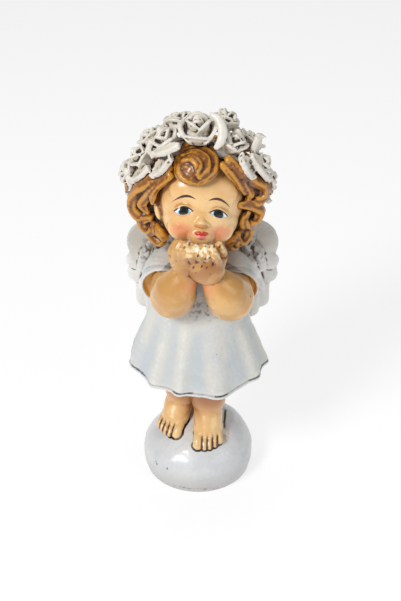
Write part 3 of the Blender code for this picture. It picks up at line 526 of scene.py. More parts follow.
def headForms(clay):
    for centre, size, rounds in head["masses"]:
        ball(clay, centre, size, rounds=rounds, place=headPlace)
    limb(clay, [headPlace @ Vector(p) for p in head["bridge"]], [0.8, 1.1, 1.7], up=(1, 0, 0), sides=24)
    out, high, shift, tilt = features["eye"]
    for side in (-1, 1):
        for away, aside, depth, height, size, (lean, turn), rounds in head["pairs"]:
            centre, turned = (side * away + aside, depth, height), (0, side * lean, side * turn)
            ball(clay, centre, size, turned, rounds, headPlace)
        lid = []
        for u in head["lid"]:
            x = side * (out + u) + shift
            z = high - tilt * x - 0.15 * u * u - 0.13 * u + 1.8
            lid.append(headPlace @ Vector((x, -13.75 + 0.030 * (x * side - 3) ** 2, z)))
        limb(clay, lid, [0.3, 0.55, 0.55, 0.3], up=(0, 0, 1), sides=14)
    limb(clay, [spot(0.3, 1.0, 70), headPlace @ Vector((0, 1, -10))], [head["neck"]] * 2, up=(0, 1, 0))


# Hair

hair = {
    "depth": 2.9,
    "curl": 4.6,
    "faceCurls": (  # azimuth and height on the head, size, start, winding, stand-off
        (-100, 24, 1.12, 20, 1, 0.4),
        (-98, -4, 1.12, 140, -1, 0.6),
        (-104, -30, 1.12, 20, 1, 0.6),
        (-92, -46, 0.98, 90, -1, 0.2),
        (100, 22, 1.12, 160, -1, 0.4),
        (98, -6, 1.12, 40, 1, 0.6),
        (104, -32, 1.12, 160, -1, 0.6),
        (92, -48, 0.96, 90, 1, 0.0),
    ),
    "sideLocks": (  # the locks that frame the face, and their thickness
        (((-9.0, -9.6, 134.5), (-14.6, -7.4, 129.0), (-19.4, -4.4, 124.0), (-21.8, -2.8, 119.2),
          (-21.6, -2.6, 115.6), (-18.8, -4.0, 112.6), (-15.8, -5.8, 113.6)), 2.35),
        (((-9.4, -10.4, 132.6), (-13.4, -8.8, 127.8), (-16.2, -7.0, 123.0), (-18.0, -5.8, 119.2),
          (-16.4, -6.8, 116.6)), 2.1),
        (((-8.0, -11.4, 132.8), (-11.6, -10.8, 129.2), (-13.8, -9.6, 125.2), (-14.4, -8.8, 121.2)), 1.4),
        (((-18.0, -3.6, 114.0), (-19.0, -3.6, 110.8), (-17.0, -4.8, 108.0), (-14.6, -5.8, 109.2),
          (-14.6, -5.8, 111.6)), 1.95),
        (((-16.8, -3.2, 109.0), (-15.4, -3.8, 105.2), (-12.6, -5.0, 103.6), (-10.6, -5.6, 105.4)), 1.9),
        (((-14.0, -2.0, 134.5), (-18.4, -2.0, 129.6), (-22.0, -0.8, 124.6), (-23.4, 0.2, 120.0)), 2.3),
        (((9.0, -10.8, 137.0), (12.2, -10.2, 133.4), (14.6, -9.0, 129.4), (16.0, -8.0, 125.6)), 1.5),
        (((11.0, -9.0, 138.0), (15.2, -7.8, 133.2), (19.0, -5.6, 129.2), (22.2, -3.8, 126.2),
          (22.0, -3.6, 122.4), (19.2, -5.0, 120.4), (17.0, -6.2, 121.8)), 2.25),
        (((13.4, -8.8, 132.4), (16.2, -7.6, 128.4), (17.8, -6.6, 125.0), (17.4, -6.8, 122.8)), 1.6),
        (((15.2, -7.6, 120.8), (18.4, -5.4, 119.6), (21.2, -3.6, 116.8), (20.4, -3.6, 113.2),
          (17.4, -5.0, 112.2), (15.8, -6.2, 114.6), (17.2, -5.8, 116.6)), 2.1),
        (((16.8, -4.2, 112.6), (18.0, -3.8, 108.8), (16.0, -4.8, 105.0), (13.6, -6.0, 106.0),
          (14.0, -6.2, 108.8)), 1.95),
        (((14.0, -4.0, 105.0), (12.6, -4.6, 102.6), (10.4, -5.4, 103.4)), 1.8),
        (((14.4, -2.0, 137.0), (19.0, -2.0, 132.0), (23.0, -0.8, 127.0), (24.4, 0.2, 122.0)), 2.3),
    ),
    "fill": (  # hair behind the side locks
        ((-17.0, -1.0, 121.0), (5.0, 4.4, 9.0)),
        ((17.6, -1.0, 121.5), (5.0, 4.4, 9.0)),
        ((-14.4, -1.4, 109.0), (4.6, 4.0, 5.0)),
        ((15.4, -1.4, 109.6), (4.6, 4.0, 5.0)),
    ),
    "forelock": (  # the front curl's strands, drawn flat: points across and up, thickness, how proud
        (((-6.0, -1.8), (-5.6, 1.6), (-3.0, 4.2), (1.4, 4.7), (4.7, 2.6), (5.2, -1.2), (3.2, -4.4),
          (0.6, -6.2)), 2.3, 0.3),
        (((-5.7, -0.8), (-5.0, -3.6), (-2.6, -5.4), (0.4, -6.3)), 2.2, 0.5),
        (((-4.6, 2.4), (-1.0, 2.8), (2.4, 0.8), (2.9, -2.4), (0.9, -5.0)), 2.1, 1.6),
        (((-4.4, 0.2), (-1.6, 0.2), (0.4, -1.8), (0.4, -4.4)), 1.9, 1.9),
    ),
    "backCurls": ((-40, 6, 122), (-20, 6, 128), (2, 6, 124), (24, 7, 98), (46, 6, 84), (68, 4, 70)),
}


def outward(azimuth, height):
    a, h = math.radians(azimuth), math.radians(height)
    return Vector((math.sin(a) * math.cos(h), -math.cos(a) * math.cos(h), math.sin(h)))


def curlForm(clay, azimuth, height, size, first, side, rise):
    out = outward(azimuth, height)
    across = Vector((0, 0, 1)).cross(out).normalized()
    r = hair["curl"] * size
    middle = out * (head["radius"] + hair["depth"] * 0.6 + rise)
    path = []
    for i in range(15):
        share = i / 14
        turn = math.radians(first + side * 430 * share)
        reach = r * (0.66 - 0.54 * share**0.9)
        wobble = 1 + 0.10 * math.sin(3 * turn + first)
        point = middle + (across * math.cos(turn) + out.cross(across) * math.sin(turn)) * reach * wobble
        path.append(headPlace @ (point + out * r * (0.42 * math.sin(share * math.pi / 2) - 0.10)))
    ball(clay, headPlace @ middle, (r * 0.62,) * 3, rounds=18)
    widths = [r * w for w in (0.26, 0.42, 0.44, 0.40, 0.34, 0.26)]
    up = headTurn.to_3x3() @ out
    limb(clay, path, widths, 0.95, up, sides=32, steps=3, strands=(4, 0.17), twist=side * 80)


def forelockForm(clay):
    turn = Euler((math.radians(-38), 0, math.radians(-4))).to_matrix().to_4x4()
    place = headPlace @ Matrix.Translation((-1.9, 0, 0)) @ turn
    depth = -head["radius"] - 1.2
    ball(clay, (0, depth, 1.4), (6.4, 3.9, 6.0), place=place)
    for drawn, thick, proud in hair["forelock"]:
        path = []
        for x, z in drawn:
            sink = 0.045 * (x * x + z * z)
            path.append(place @ Vector((x, depth - 1.6 - proud + sink, z + 1.4)))
        widths = [thick * w for w in (0.6, 0.95, 1.0, 0.9, 0.45)]
        up = place.to_3x3() @ Vector((0, -1, 0))
        limb(clay, path, widths, 0.9, up, sides=32, steps=5, strands=(4, 0.21), twist=90)
    for x in (-4.2, -1.4, 1.4, 4.2):  # its roots, under the front rose
        root = [(x, depth + 0.4, 4.4), (x * 0.9, depth + 1.0, 8.8), (x * 0.8, depth + 4.0, 13.0)]
        limb(clay, [place @ Vector(p) for p in root], [2.0, 2.3, 2.2], 0.9, sides=24, strands=(3, 0.2))


def hairForms(clay):
    cap = head["radius"] + hair["depth"] * 0.5
    ball(clay, (0, 3.0, 1.0), (cap, cap * 0.82, cap), rounds=48, place=headPlace)
    for curl in hair["faceCurls"]:
        curlForm(clay, *curl)
    for lock, thick in hair["sideLocks"]:
        points = [Vector(p) for p in lock]
        up = points[len(points) // 2] - headPlace.translation
        widths = [thick * w for w in (0.84, 1.16, 0.98, 1.16, 0.6)]
        limb(clay, points, widths, 0.88, up, sides=36, steps=5, strands=(4, 0.23), twist=110)
    for row, (height, count, first) in enumerate(hair["backCurls"]):
        for i in range(count):
            azimuth = first + (360 - 2 * first) * i / (count - 1)
            size = 1.12 + 0.10 * math.sin(5 * i + row)
            curlForm(clay, azimuth, height, size, 70 * i + 40 * row, (-1) ** (i + row), 0.4)
    for centre, size in hair["fill"]:
        ball(clay, centre, size)
    forelockForm(clay)


# The wreath

wreath = {
    "roses": 12,
    "rose": 5.8,
    "petal": 1.0,
    "rim": 0.44,
    "radius": 20.0,
    "band": 2.5,
    "leafLength": 9.5,
    "leafWidth": 5.6,
    "rings": (  # petals, then opening, height and roll as shares of the radius, and a petal's half-angle
        (2, 0.26, 1.40, 0.00, 105),
        (3, 0.56, 1.26, 0.04, 78),
        (4, 0.92, 1.00, 0.10, 66),
    ),
    "front": (  # roses that face the viewer: place, radius, turn
        (0.6, -4.0, 145.6, 6.2, 0),
        (-10.2, -3.4, 142.2, 4.6, 25),
        (11.8, -3.6, 141.4, 4.8, -15),
        (-17.8, -2.6, 135.0, 4.7, 40),
        (20.6, -1.2, 133.0, 4.4, -35),
        (8.8, 4.6, 145.0, 4.6, 60),
        (23.2, 1.6, 126.2, 4.2, 10),
        (-23.0, 0.6, 127.6, 4.0, -20),
        (-6.4, 4.6, 144.4, 4.4, 50),
        (-15.6, 3.6, 138.6, 4.2, 15),
        (17.2, 4.0, 138.2, 4.2, 70),
    ),
    "crescent": (  # the curved petal beside the front rose
        (6.8, -9.4, 142.8),
        (8.2, -8.6, 144.8),
        (8.6, -7.0, 147.6),
        (7.2, -5.2, 150.4),
        (4.6, -4.0, 151.8),
    ),
    "leaves": (  # root, tip, half width, and how saw-edged
        ((-4.6, -9.2, 142.2), (-14.4, -8.0, 138.6), 2.4, 0.0),
        ((-6.8, -10.2, 138.8), (-14.1, -9.0, 131.4), 3.0, 0.3),
        ((-14.4, -6.8, 133.0), (-21.2, -3.4, 126.6), 2.5, 0.0),
        ((-22.6, -1.0, 130.0), (-21.4, -2.6, 122.6), 2.7, 0.0),
        ((13.6, -9.2, 139.6), (18.6, -8.2, 131.6), 2.8, 0.3),
        ((16.8, -6.6, 138.4), (24.4, -2.6, 128.0), 3.3, 0.0),
        ((17.2, -2.4, 137.6), (20.2, -1.6, 144.0), 2.3, 0.0),
        ((-15.6, -4.0, 136.0), (-14.0, -4.6, 142.0), 2.0, 0.0),
    ),
}


def wreathPlace(angle):
    middle = spot(0.4, 3.0, 102.0)
    turn = math.radians(angle)
    rise, side = math.cos(turn), math.sin(turn)
    back = max(0.0, -rise)
    sink = rise * (1 if rise > 0 else 0.62)
    behind = 0.72 * back**1.3 - 0.22 * max(rise, 0)
    place = middle + Vector((side * 1.04, behind, sink)) * wreath["radius"]
    return place, (place - spot(*head["centre"])).normalized()


def petalForm(clay, rose, spin, opening, height, spread, curl):
    wave = 0.05 * height * math.sin(spin)

    def outline(u, v):
        rise = (v + 1) / 2
        angle = math.radians(spread) * u
        reach = opening * (0.34 + 0.66 * math.sin(rise * math.pi / 2) ** 0.8) + curl * rise**3
        level = height * rise * (1 - 0.42 * abs(u) ** 2.4) + wave * math.sin(3 * u + spin) * rise
        return Vector((reach * math.sin(angle), -reach * math.cos(angle), level))

    place = rose @ Matrix.Rotation(math.radians(spin), 4, "Z")
    plate(clay, outline, wreath["petal"], place)
    rim = [place @ outline(u, 1.0) for u in (-0.92, -0.6, -0.2, 0.2, 0.6, 0.92)]
    widths = [wreath["rim"] * w for w in (0.6, 1.0, 1.1, 1.0, 0.6)]
    limb(clay, rim, widths, up=rose.to_3x3() @ Vector((0, 0, 1)), sides=10, steps=3)


def roseForm(clay, centre, axis, radius, spin):
    ahead = axis.normalized()
    side = (Vector((1, 0, 0)) - ahead * ahead.x).normalized()
    root = centre - ahead * radius * 0.55
    rose = turnedTo(root, side, ahead)
    ball(clay, centre + ahead * radius * 0.40, (radius * 0.17,) * 3, rounds=12)
    ball(clay, centre - ahead * radius * 0.10, (radius * 0.70, radius * 0.70, radius * 0.60), rounds=20)
    for ring, (count, opening, height, curl, spread) in enumerate(wreath["rings"]):
        for i in range(count):
            wild = math.sin(12.9 * i + 4.1 * spin + 7.7 * ring)
            turn = spin + 360 * (i + 0.5 * ring) / count + 9 * wild
            lean = rose @ Matrix.Rotation(math.radians(5 * math.sin(3 * wild + i)), 4, "X")
            tall = radius * height * (1 + 0.07 * wild)
            petalForm(clay, lean, turn, radius * opening * (1 + 0.06 * wild), tall, spread, radius * curl)


def leafForm(clay, root, tip, out, half, teeth, thick):
    heading = tip - root
    length = heading.length

    def outline(u, v):
        rise = (v + 1) / 2
        wide = half * math.sin(math.pi * (0.10 + 0.86 * rise)) ** 0.75
        saw = 1 - 0.10 * teeth * (rise * 6 % 1)
        vein = 0.30 * teeth * math.sin(2 * math.pi * (rise * 5 - abs(u) * 1.2)) * abs(u)
        cup = 0.16 * abs(u) ** 1.6 * wide - 0.30 * math.exp(-((u / 0.14) ** 2)) - 0.12 * length * rise**2
        return Vector((u * wide * saw, cup + vein, rise * length))

    ahead = heading.normalized()
    side = out.cross(ahead).normalized()
    plate(clay, outline, wreath["petal"] * thick, turnedTo(root, side, ahead), 20, 30)


def roseForms(clay):
    middle = spot(*head["centre"])
    for x, y, z, size, turn in wreath["front"]:
        place = Vector((x, y, z))
        axis = (place - middle).normalized() + Vector((0, -0.02, 0.12))
        roseForm(clay, place - axis * 0.5, axis, size, turn)
    for i in range(4, 9):
        place, out = wreathPlace(360 * i / wreath["roses"] + 4 * math.sin(i * 2.4))
        size = wreath["rose"] * (1 + 0.06 * math.sin(i * 1.7))
        roseForm(clay, place - out * 0.5, out, size, 40 * i)


def foliageForms(clay):
    band = []
    for i in range(37):
        place, out = wreathPlace(i * 10)
        sink = 1.6 + 1.5 * max(0, math.cos(math.radians(i * 10))) ** 4  # deeper in the hair over the brow
        band.append((place - out * wreath["band"] * sink, out))
    for (place, out), (after, beyond) in zip(band, band[1:]):
        limb(clay, [place, after], [wreath["band"]] * 2, up=out, sides=16, steps=2)
    limb(clay, wreath["crescent"], [1.0, 1.5, 1.7, 1.3, 0.8], 0.7, (0.2, -0.8, 0.5), sides=24)
    middle = spot(*head["centre"])
    for root, tip, half, teeth in wreath["leaves"]:
        root, tip = Vector(root), Vector(tip)
        leafForm(clay, root, tip, ((root + tip) / 2 - middle).normalized(), half * 0.94, teeth, 1.9)
    for i in range(wreath["roses"]):
        angle = 360 * (i + 0.5) / wreath["roses"]
        place, out = wreathPlace(angle)
        ahead = (wreathPlace(angle + 6)[0] - wreathPlace(angle - 6)[0]).normalized()
        edge = out.cross(ahead).normalized()
        for sign in (-1, 1):
            heading = (edge * sign + ahead * 0.55 * (-1) ** i + out * 0.12).normalized()
            if heading.y < 0 and math.cos(math.radians(angle)) > 0.1:
                continue
            scale = 0.92 + 0.08 * math.sin(i * 3)
            root = place - out * wreath["band"] * 0.3
            tip = root + heading * wreath["leafLength"] * scale
            leafForm(clay, root, tip, out, wreath["leafWidth"] * scale / 2, 0.2, 1.6)


# The wings

wings = {
    "span": 59.6,
    "thickness": 5.0,
    "feather": 2.6,
    "sweep": 14.0,
    "masses": (  # centre, size, turn: upper, inner and outer part of a wing
        ((16.5, 0.4, 67), (10.6, 1.0, 11.0), (24, 12)),
        ((9.5, 0, 58), (7.0, 1.0, 11.0), (10, 10)),
        ((19.0, 1.0, 58), (8.0, 0.8, 9.0), (-10, 12)),
    ),
    "long": (  # the long feathers: root, tip, half width, depth
        (20.0, 58, 21.5, 42.0, 3.9, 1.0),
        (16.5, 58, 18.0, 38.5, 4.0, 0.2),
        (13.0, 57, 13.8, 36.0, 4.0, -0.6),
        (9.0, 56, 9.4, 35.0, 4.0, -1.2),
    ),
    "front": ((66.5, 4, 8.0), (62.5, 4, 9.6), (58.5, 4, 8.0), (54.0, 4, 9.4), (49.5, 3, 8.2)),
}


def featherForm(clay, root, tip, halfWidth, side, thick=1.0):
    middle = root.lerp(tip, 0.55)
    flat = wings["feather"] * thick / 2 / halfWidth
    up = Vector((math.sin(math.radians(wings["sweep"])) * -side, 1, 0))
    limb(clay, [root, middle, tip], [halfWidth * 0.7, halfWidth, halfWidth * 0.8], flat, up, sides=24)


def wingForms(clay):
    reach = wings["span"] / 2 / 29.0
    sweep = math.tan(math.radians(wings["sweep"]))
    thick = wings["thickness"] / 2
    for side in (-1, 1):

        def at(x, y, z):
            lift = 2.0 if side > 0 else 0.0  # the right wing stands a little higher
            return spot(0.6, 10.2 + y + (x - 6) * sweep * 0.9, z + lift) + Vector((side * x * reach, 0, 0))

        for centre, (wide, deep, tall), (lean, turn) in wings["masses"]:
            ball(clay, at(*centre), (wide * reach, thick * deep, tall), (0, side * lean, side * turn), 40)
        for x, z, wide, y in ((24.0, 60.0, 4.6, -0.6), (23.2, 54.0, 5.2, 0.2)):
            featherForm(clay, at(x - 5.5, y, z + 3.4), at(x, y, z), wide, side, 1.15)
        for xRoot, zRoot, xTip, zTip, wide, y in wings["long"]:
            featherForm(clay, at(xRoot, y, zRoot), at(xTip, y, zTip), wide, side, 1.25)
        for row, (z, count, y) in enumerate(((64, 4, 1.9), (57, 4, 1.6))):
            for i in range(count):
                x = 8 + 4.6 * i + row * 0.8
                drop = 1.2 * i if row else -0.8 * i
                root, tip = at(x, y, z + 4 - drop), at(x + 0.8, y + 0.5, z - 3 - drop)
                featherForm(clay, root, tip, 2.7, side, 0.9)
        for row, (z, count, first) in enumerate(wings["front"]):  # short feathers on the side that shows
            for i in range(count):
                x = first + 3.7 * i + 0.5 * math.sin(3 * i + row)
                drop = 0.5 * i + 0.8 * math.sin(2.3 * i + 2 * row)
                root, tip = at(x, -2.1, z + 3 - drop), at(x + 1.4, -2.5, z - 2.2 - drop)
                featherForm(clay, root, tip, 1.9 + 0.3 * math.sin(5 * i + row), side, 0.8)


print("Casting the pieces")
pieces = {
    "stone": fuse("stone", stoneForm, grain=0.6, flatAt=0.0, rough=0.25),
    "legs": fuse("legs", legForms, grain=0.33),
    "dress": fuse("dress", dressForm, sleeveForms, grain=0.42, rough=0.2),
    "arms": fuse("arms", armForms, handForms, grain=0.32),
    "head": fuse("head", headForms, grain=0.29, rough=0.06),
    "hair": fuse("hair", hairForms, grain=0.36, rough=0.3),
    "roses": fuse("roses", roseForms, grain=0.37, keepAll=True, soften=1, rough=0.25),
    "foliage": fuse("foliage", foliageForms, grain=0.42, soften=1, keepAll=True, rough=0.25),
    "wings": fuse("wings", wingForms, grain=0.38, keepAll=True, soften=1, rough=0.16),
}


# Where paint gathers, and where shade and highlights are painted: how deep each point lies in the folds, over
# the whole casting and on its own piece

solid = {"pitch": 0.42, "scales": (0.55, 1.3, 4.0)}  # cells in millimetres, and how far they are blurred


def perVertex(piece, field):
    flat = np.empty(len(piece.data.vertices) * 3, np.float32)
    piece.data.vertices.foreach_get(field, flat)
    return flat.reshape(-1, 3).astype(float)


def skinTree(piece):
    mesh = piece.data
    return BVHTree.FromPolygons([v.co for v in mesh.vertices], [p.vertices for p in mesh.polygons])


def fillColumn(tree, start, column, low, pitch):
    # marks the cells between the skins that a ray upwards meets
    inside, entry = 0, 0.0
    while True:
        hit, normal, index, distance = tree.ray_cast(start, Vector((0, 0, 1)))
        if hit is None:
            return
        if normal.z < 0:
            entry = hit.z if inside == 0 else entry
            inside += 1
        else:
            inside -= 1
            if inside == 0:
                column[int((entry - low) / pitch + 0.5) : int((hit.z - low) / pitch + 0.5)] = 1
        start = hit + Vector((0, 0, 1e-4))


def solidField(casting):
    pitch = solid["pitch"]
    boxes = [np.array([c[:] for c in piece.bound_box]) for piece in casting]
    low = np.min([box.min(0) for box in boxes], axis=0) - 6
    high = np.max([box.max(0) for box in boxes], axis=0) + 6
    field = np.zeros(np.ceil((high - low) / pitch).astype(int), np.float32)
    for piece, box in zip(casting, boxes):
        tree = skinTree(piece)
        first = np.floor((box.min(0) - low) / pitch).astype(int)
        last = np.ceil((box.max(0) - low) / pitch).astype(int)
        for i in range(first[0], last[0] + 1):
            for j in range(first[1], last[1] + 1):
                start = Vector((low[0] + i * pitch, low[1] + j * pitch, low[2]))
                fillColumn(tree, start, field[i, j], low[2], pitch)
    return low, field


def blurred(field, sigma):
    reach = max(1, int(sigma * 2.6 + 0.5))
    weights = np.exp(-0.5 * (np.arange(-reach, reach + 1) / sigma) ** 2)
    weights /= weights.sum()
    for axis in range(3):
        spread = np.zeros_like(field)
        for shift, weight in zip(range(-reach, reach + 1), weights):
            here, there = [slice(None)] * 3, [slice(None)] * 3
            here[axis] = slice(max(0, shift), field.shape[axis] + min(0, shift))
            there[axis] = slice(max(0, -shift), field.shape[axis] + min(0, -shift))
            spread[tuple(here)] += weight * field[tuple(there)]
        field = spread
    return field


def sampled(field, low, places):
    place = (places - low) / solid["pitch"]
    base = np.clip(np.floor(place).astype(int), 0, np.array(field.shape) - 2)
    part = place - base
    total = 0
    for corner in range(8):
        step = np.array([(corner >> k) & 1 for k in range(3)])
        weight = np.prod(np.where(step, part, 1 - part), axis=1)
        total = total + weight * field[tuple((base + step).T)]
    return total


def bend(piece, rounds):
    # how far the skin rises to its own average: positive in a groove, negative on a ridge
    ends = np.empty(len(piece.data.edges) * 2, np.int32)
    piece.data.edges.foreach_get("vertices", ends)
    a, b = ends.reshape(-1, 2).T
    start = perVertex(piece, "co")
    here = start.copy()
    count = np.bincount(a, minlength=len(here)) + np.bincount(b, minlength=len(here))
    for turn in range(rounds):
        there = np.empty_like(here)
        for k in range(3):
            total = np.bincount(a, here[b, k], len(here)) + np.bincount(b, here[a, k], len(here))
            there[:, k] = total / np.maximum(count, 1)
        here = there
    return ((here - start) * perVertex(piece, "normal")).sum(1)


def keep(piece, name, values, kind="FLOAT"):
    layer = piece.data.attributes.new(name, kind, "POINT")
    layer.data.foreach_set("value" if kind == "FLOAT" else "vector", np.asarray(values, np.float32).ravel())


def ramp(values, low, high):
    t = np.clip((values - low) / (high - low), 0, 1)
    return t * t * (3 - 2 * t)


print("Measuring the folds")
low, field = solidField(list(pieces.values()))
layers = [blurred(field, s / solid["pitch"]) for s in solid["scales"]]
for piece in pieces.values():
    near, middle, wide = (sampled(layer, low, perVertex(piece, "co")) for layer in layers)
    fine, broad = bend(piece, 3), bend(piece, 16)
    keep(piece, "crevice", np.clip(0.85 * ramp(near, 0.56, 0.86) + 0.7 * ramp(fine, 0.018, 0.07), 0, 1))
    keep(piece, "fold", np.clip(0.7 * ramp(middle, 0.50, 0.80) + 0.5 * ramp(broad, 0.02, 0.35), 0, 1))
    keep(piece, "hollow", ramp(wide, 0.42, 0.85))
    keep(piece, "ridge", np.clip(ramp(-fine, 0.008, 0.05) + 0.5 * ramp(-broad, 0.05, 0.5), 0, 1))


# Node helpers: a Field is a number or a colour that changes over the surface


def feed(value, socket):
    if isinstance(value, Field):
        value.tree.links.new(value.socket, socket)
    elif isinstance(value, tuple):  # a colour without its alpha
        socket.default_value = (*value, 1)
    elif value is not None:
        socket.default_value = value


class Field:
    def __init__(self, tree, socket):
        self.tree, self.socket = tree, socket

    def math(self, kind, other=None):
        node = self.tree.nodes.new("ShaderNodeMath")
        node.operation = kind
        feed(self, node.inputs[0])
        feed(other, node.inputs[1])
        return Field(self.tree, node.outputs[0])

    def __add__(self, other):
        return self.math("ADD", other)

    def __sub__(self, other):
        return self.math("SUBTRACT", other)

    def __mul__(self, other):
        return self.math("MULTIPLY", other)

    def __truediv__(self, other):
        return self.math("DIVIDE", other)

    def most(self, other):
        return self.math("MAXIMUM", other)

    def least(self, other):
        return self.math("MINIMUM", other)

    def size(self):
        return self.math("ABSOLUTE")

    def ramp(self, low, high):
        swapped = low > high
        node = self.tree.nodes.new("ShaderNodeMapRange")
        node.interpolation_type = "SMOOTHSTEP"
        limits = (min(low, high), max(low, high), 1.0 if swapped else 0.0, 0.0 if swapped else 1.0)
        for label, value in zip(("Value", "From Min", "From Max", "To Min", "To Max"), (self, *limits)):
            feed(value, node.inputs[label])
        return Field(self.tree, node.outputs["Result"])


def attribute(tree, name, output="Fac"):
    node = tree.nodes.new("ShaderNodeAttribute")
    node.attribute_name = name
    return Field(tree, node.outputs[output])


def parts(vector):
    node = vector.tree.nodes.new("ShaderNodeSeparateXYZ")
    feed(vector, node.inputs[0])
    return [Field(vector.tree, s) for s in node.outputs]


def objectPlace(tree):
    return Field(tree, tree.nodes.new("ShaderNodeTexCoord").outputs["Object"])


def cloud(place, scale, detail=2.0, rough=0.55):
    # noise whose grains are about one millimetre over the scale; the object is measured in metres
    node = place.tree.nodes.new("ShaderNodeTexNoise")
    values = {"Vector": place, "Scale": scale * 1000, "Detail": detail, "Roughness": rough}
    for label, value in values.items():
        feed(value, node.inputs[label])
    return Field(place.tree, node.outputs["Fac"])


def over(tree, below, colour, mask):
    node = tree.nodes.new("ShaderNodeMix")
    node.data_type = "RGBA"
    for index, value in ((0, mask), (6, below), (7, colour)):
        feed(value, node.inputs[index])
    return Field(tree, node.outputs[2])


def newGroup(name, inputs, outputs):
    group = bpy.data.node_groups.new(name, "ShaderNodeTree")
    for label, value in inputs.items():
        kind = "NodeSocketColor" if isinstance(value, tuple) else "NodeSocketFloat"
        feed(value, group.interface.new_socket(label, in_out="INPUT", socket_type=kind))
    for label, kind in outputs.items():
        group.interface.new_socket(label, in_out="OUTPUT", socket_type="NodeSocket" + kind)
    start = group.nodes.new("NodeGroupInput")
    end = group.nodes.new("NodeGroupOutput")
    return group, {s.name: Field(group, s) for s in start.outputs if s.name}, end.inputs


def useGroup(tree, group, **values):
    node = tree.nodes.new("ShaderNodeGroup")
    node.node_tree = group
    for label, value in values.items():
        feed(value, node.inputs[label])
    return {s.name: Field(tree, s) for s in node.outputs}


def makeWashAndShade():
    # dark wash that was brushed on and wiped off, with painted shade: it stays in the folds and thins on the
    # ridges, and the folds, crevices and broad hollows are darkened partly as painted shade
    strengths = {"Crevices": 1.0, "Folds": 0.5, "Shade": 0.3, "Joints": 0.5, "Speckle": 1.0}
    colours = {"Paint": (0.8, 0.8, 0.8), "Wash": (0.2, 0.16, 0.12), "Pit": (0.03, 0.02, 0.02)}
    outputs = {"Colour": "Color", "Mask": "Float"}
    group, given, end = newGroup("antique wash", {**colours, **strengths}, outputs)
    place = objectPlace(group)
    blotch = (cloud(place, 0.35, 3.0) - 0.5) * given["Speckle"]
    fleck = (cloud(place, 1.6, 2.0) - 0.5) * given["Speckle"]
    crevice, fold, hollow = (attribute(group, n) for n in ("crevice", "fold", "hollow"))
    # darker in the folds: partly wash, partly painted shade
    stainAndShade = (fold * given["Folds"] + blotch * 0.28 + fleck * 0.16).ramp(0.06, 0.74)
    deep = (crevice * given["Crevices"] + blotch * 0.20 + fleck * 0.30).ramp(0.24, 0.92)
    # painted shade over the broad hollows, in the wash colour
    shaded = over(group, given["Paint"], given["Wash"], hollow * given["Shade"])
    stained = over(group, shaded, given["Wash"], stainAndShade * given["Folds"].least(1.0) * 0.9)
    joint = (attribute(group, "contact") + fleck * 0.5).ramp(0.42, 0.75)
    feed(over(group, stained, given["Pit"], (deep * 0.92).most(joint * given["Joints"])), end["Colour"])
    feed(stainAndShade.most(deep), end["Mask"])
    return group


def makeFlecks():
    # small dark specks
    group, given, end = newGroup("flecks", {"Amount": 0.5}, {"Specks": "Float"})
    place = objectPlace(group)
    cells = group.nodes.new("ShaderNodeTexVoronoi")
    feed(260, cells.inputs["Scale"])
    feed(place, cells.inputs["Vector"])
    distance = Field(group, cells.outputs["Distance"])
    chance = parts(Field(group, cells.outputs["Color"]))[0]
    ragged = cloud(place, 2.2, 1.0) - 0.5
    specks = (distance + ragged * 0.10).ramp(0.10, 0.05) * (chance - given["Amount"] * 0.5).ramp(0.0, -0.02)
    feed(specks, end["Specks"])
    return group


def makeSkinOfPaint():
    # slightly uneven brushed paint: a normal for the light and a share that roughens the gloss
    outputs = {"Normal": "Vector", "Unevenness": "Float"}
    group, given, end = newGroup("skin of paint", {"Waviness": 0.3, "Grit": 0.2}, outputs)
    place = objectPlace(group)
    bump = group.nodes.new("ShaderNodeBump")
    feed(0.35, bump.inputs["Strength"])
    feed(0.0004, bump.inputs["Distance"])
    waves, grit = cloud(place, 0.28, 2.0), cloud(place, 2.4, 3.0)
    feed(waves * given["Waviness"] + grit * given["Grit"], bump.inputs["Height"])
    feed(Field(group, bump.outputs["Normal"]), end["Normal"])
    feed(cloud(place, 0.5, 3.0), end["Unevenness"])
    return group


wash, flecks, skinOfPaint = makeWashAndShade(), makeFlecks(), makeSkinOfPaint()
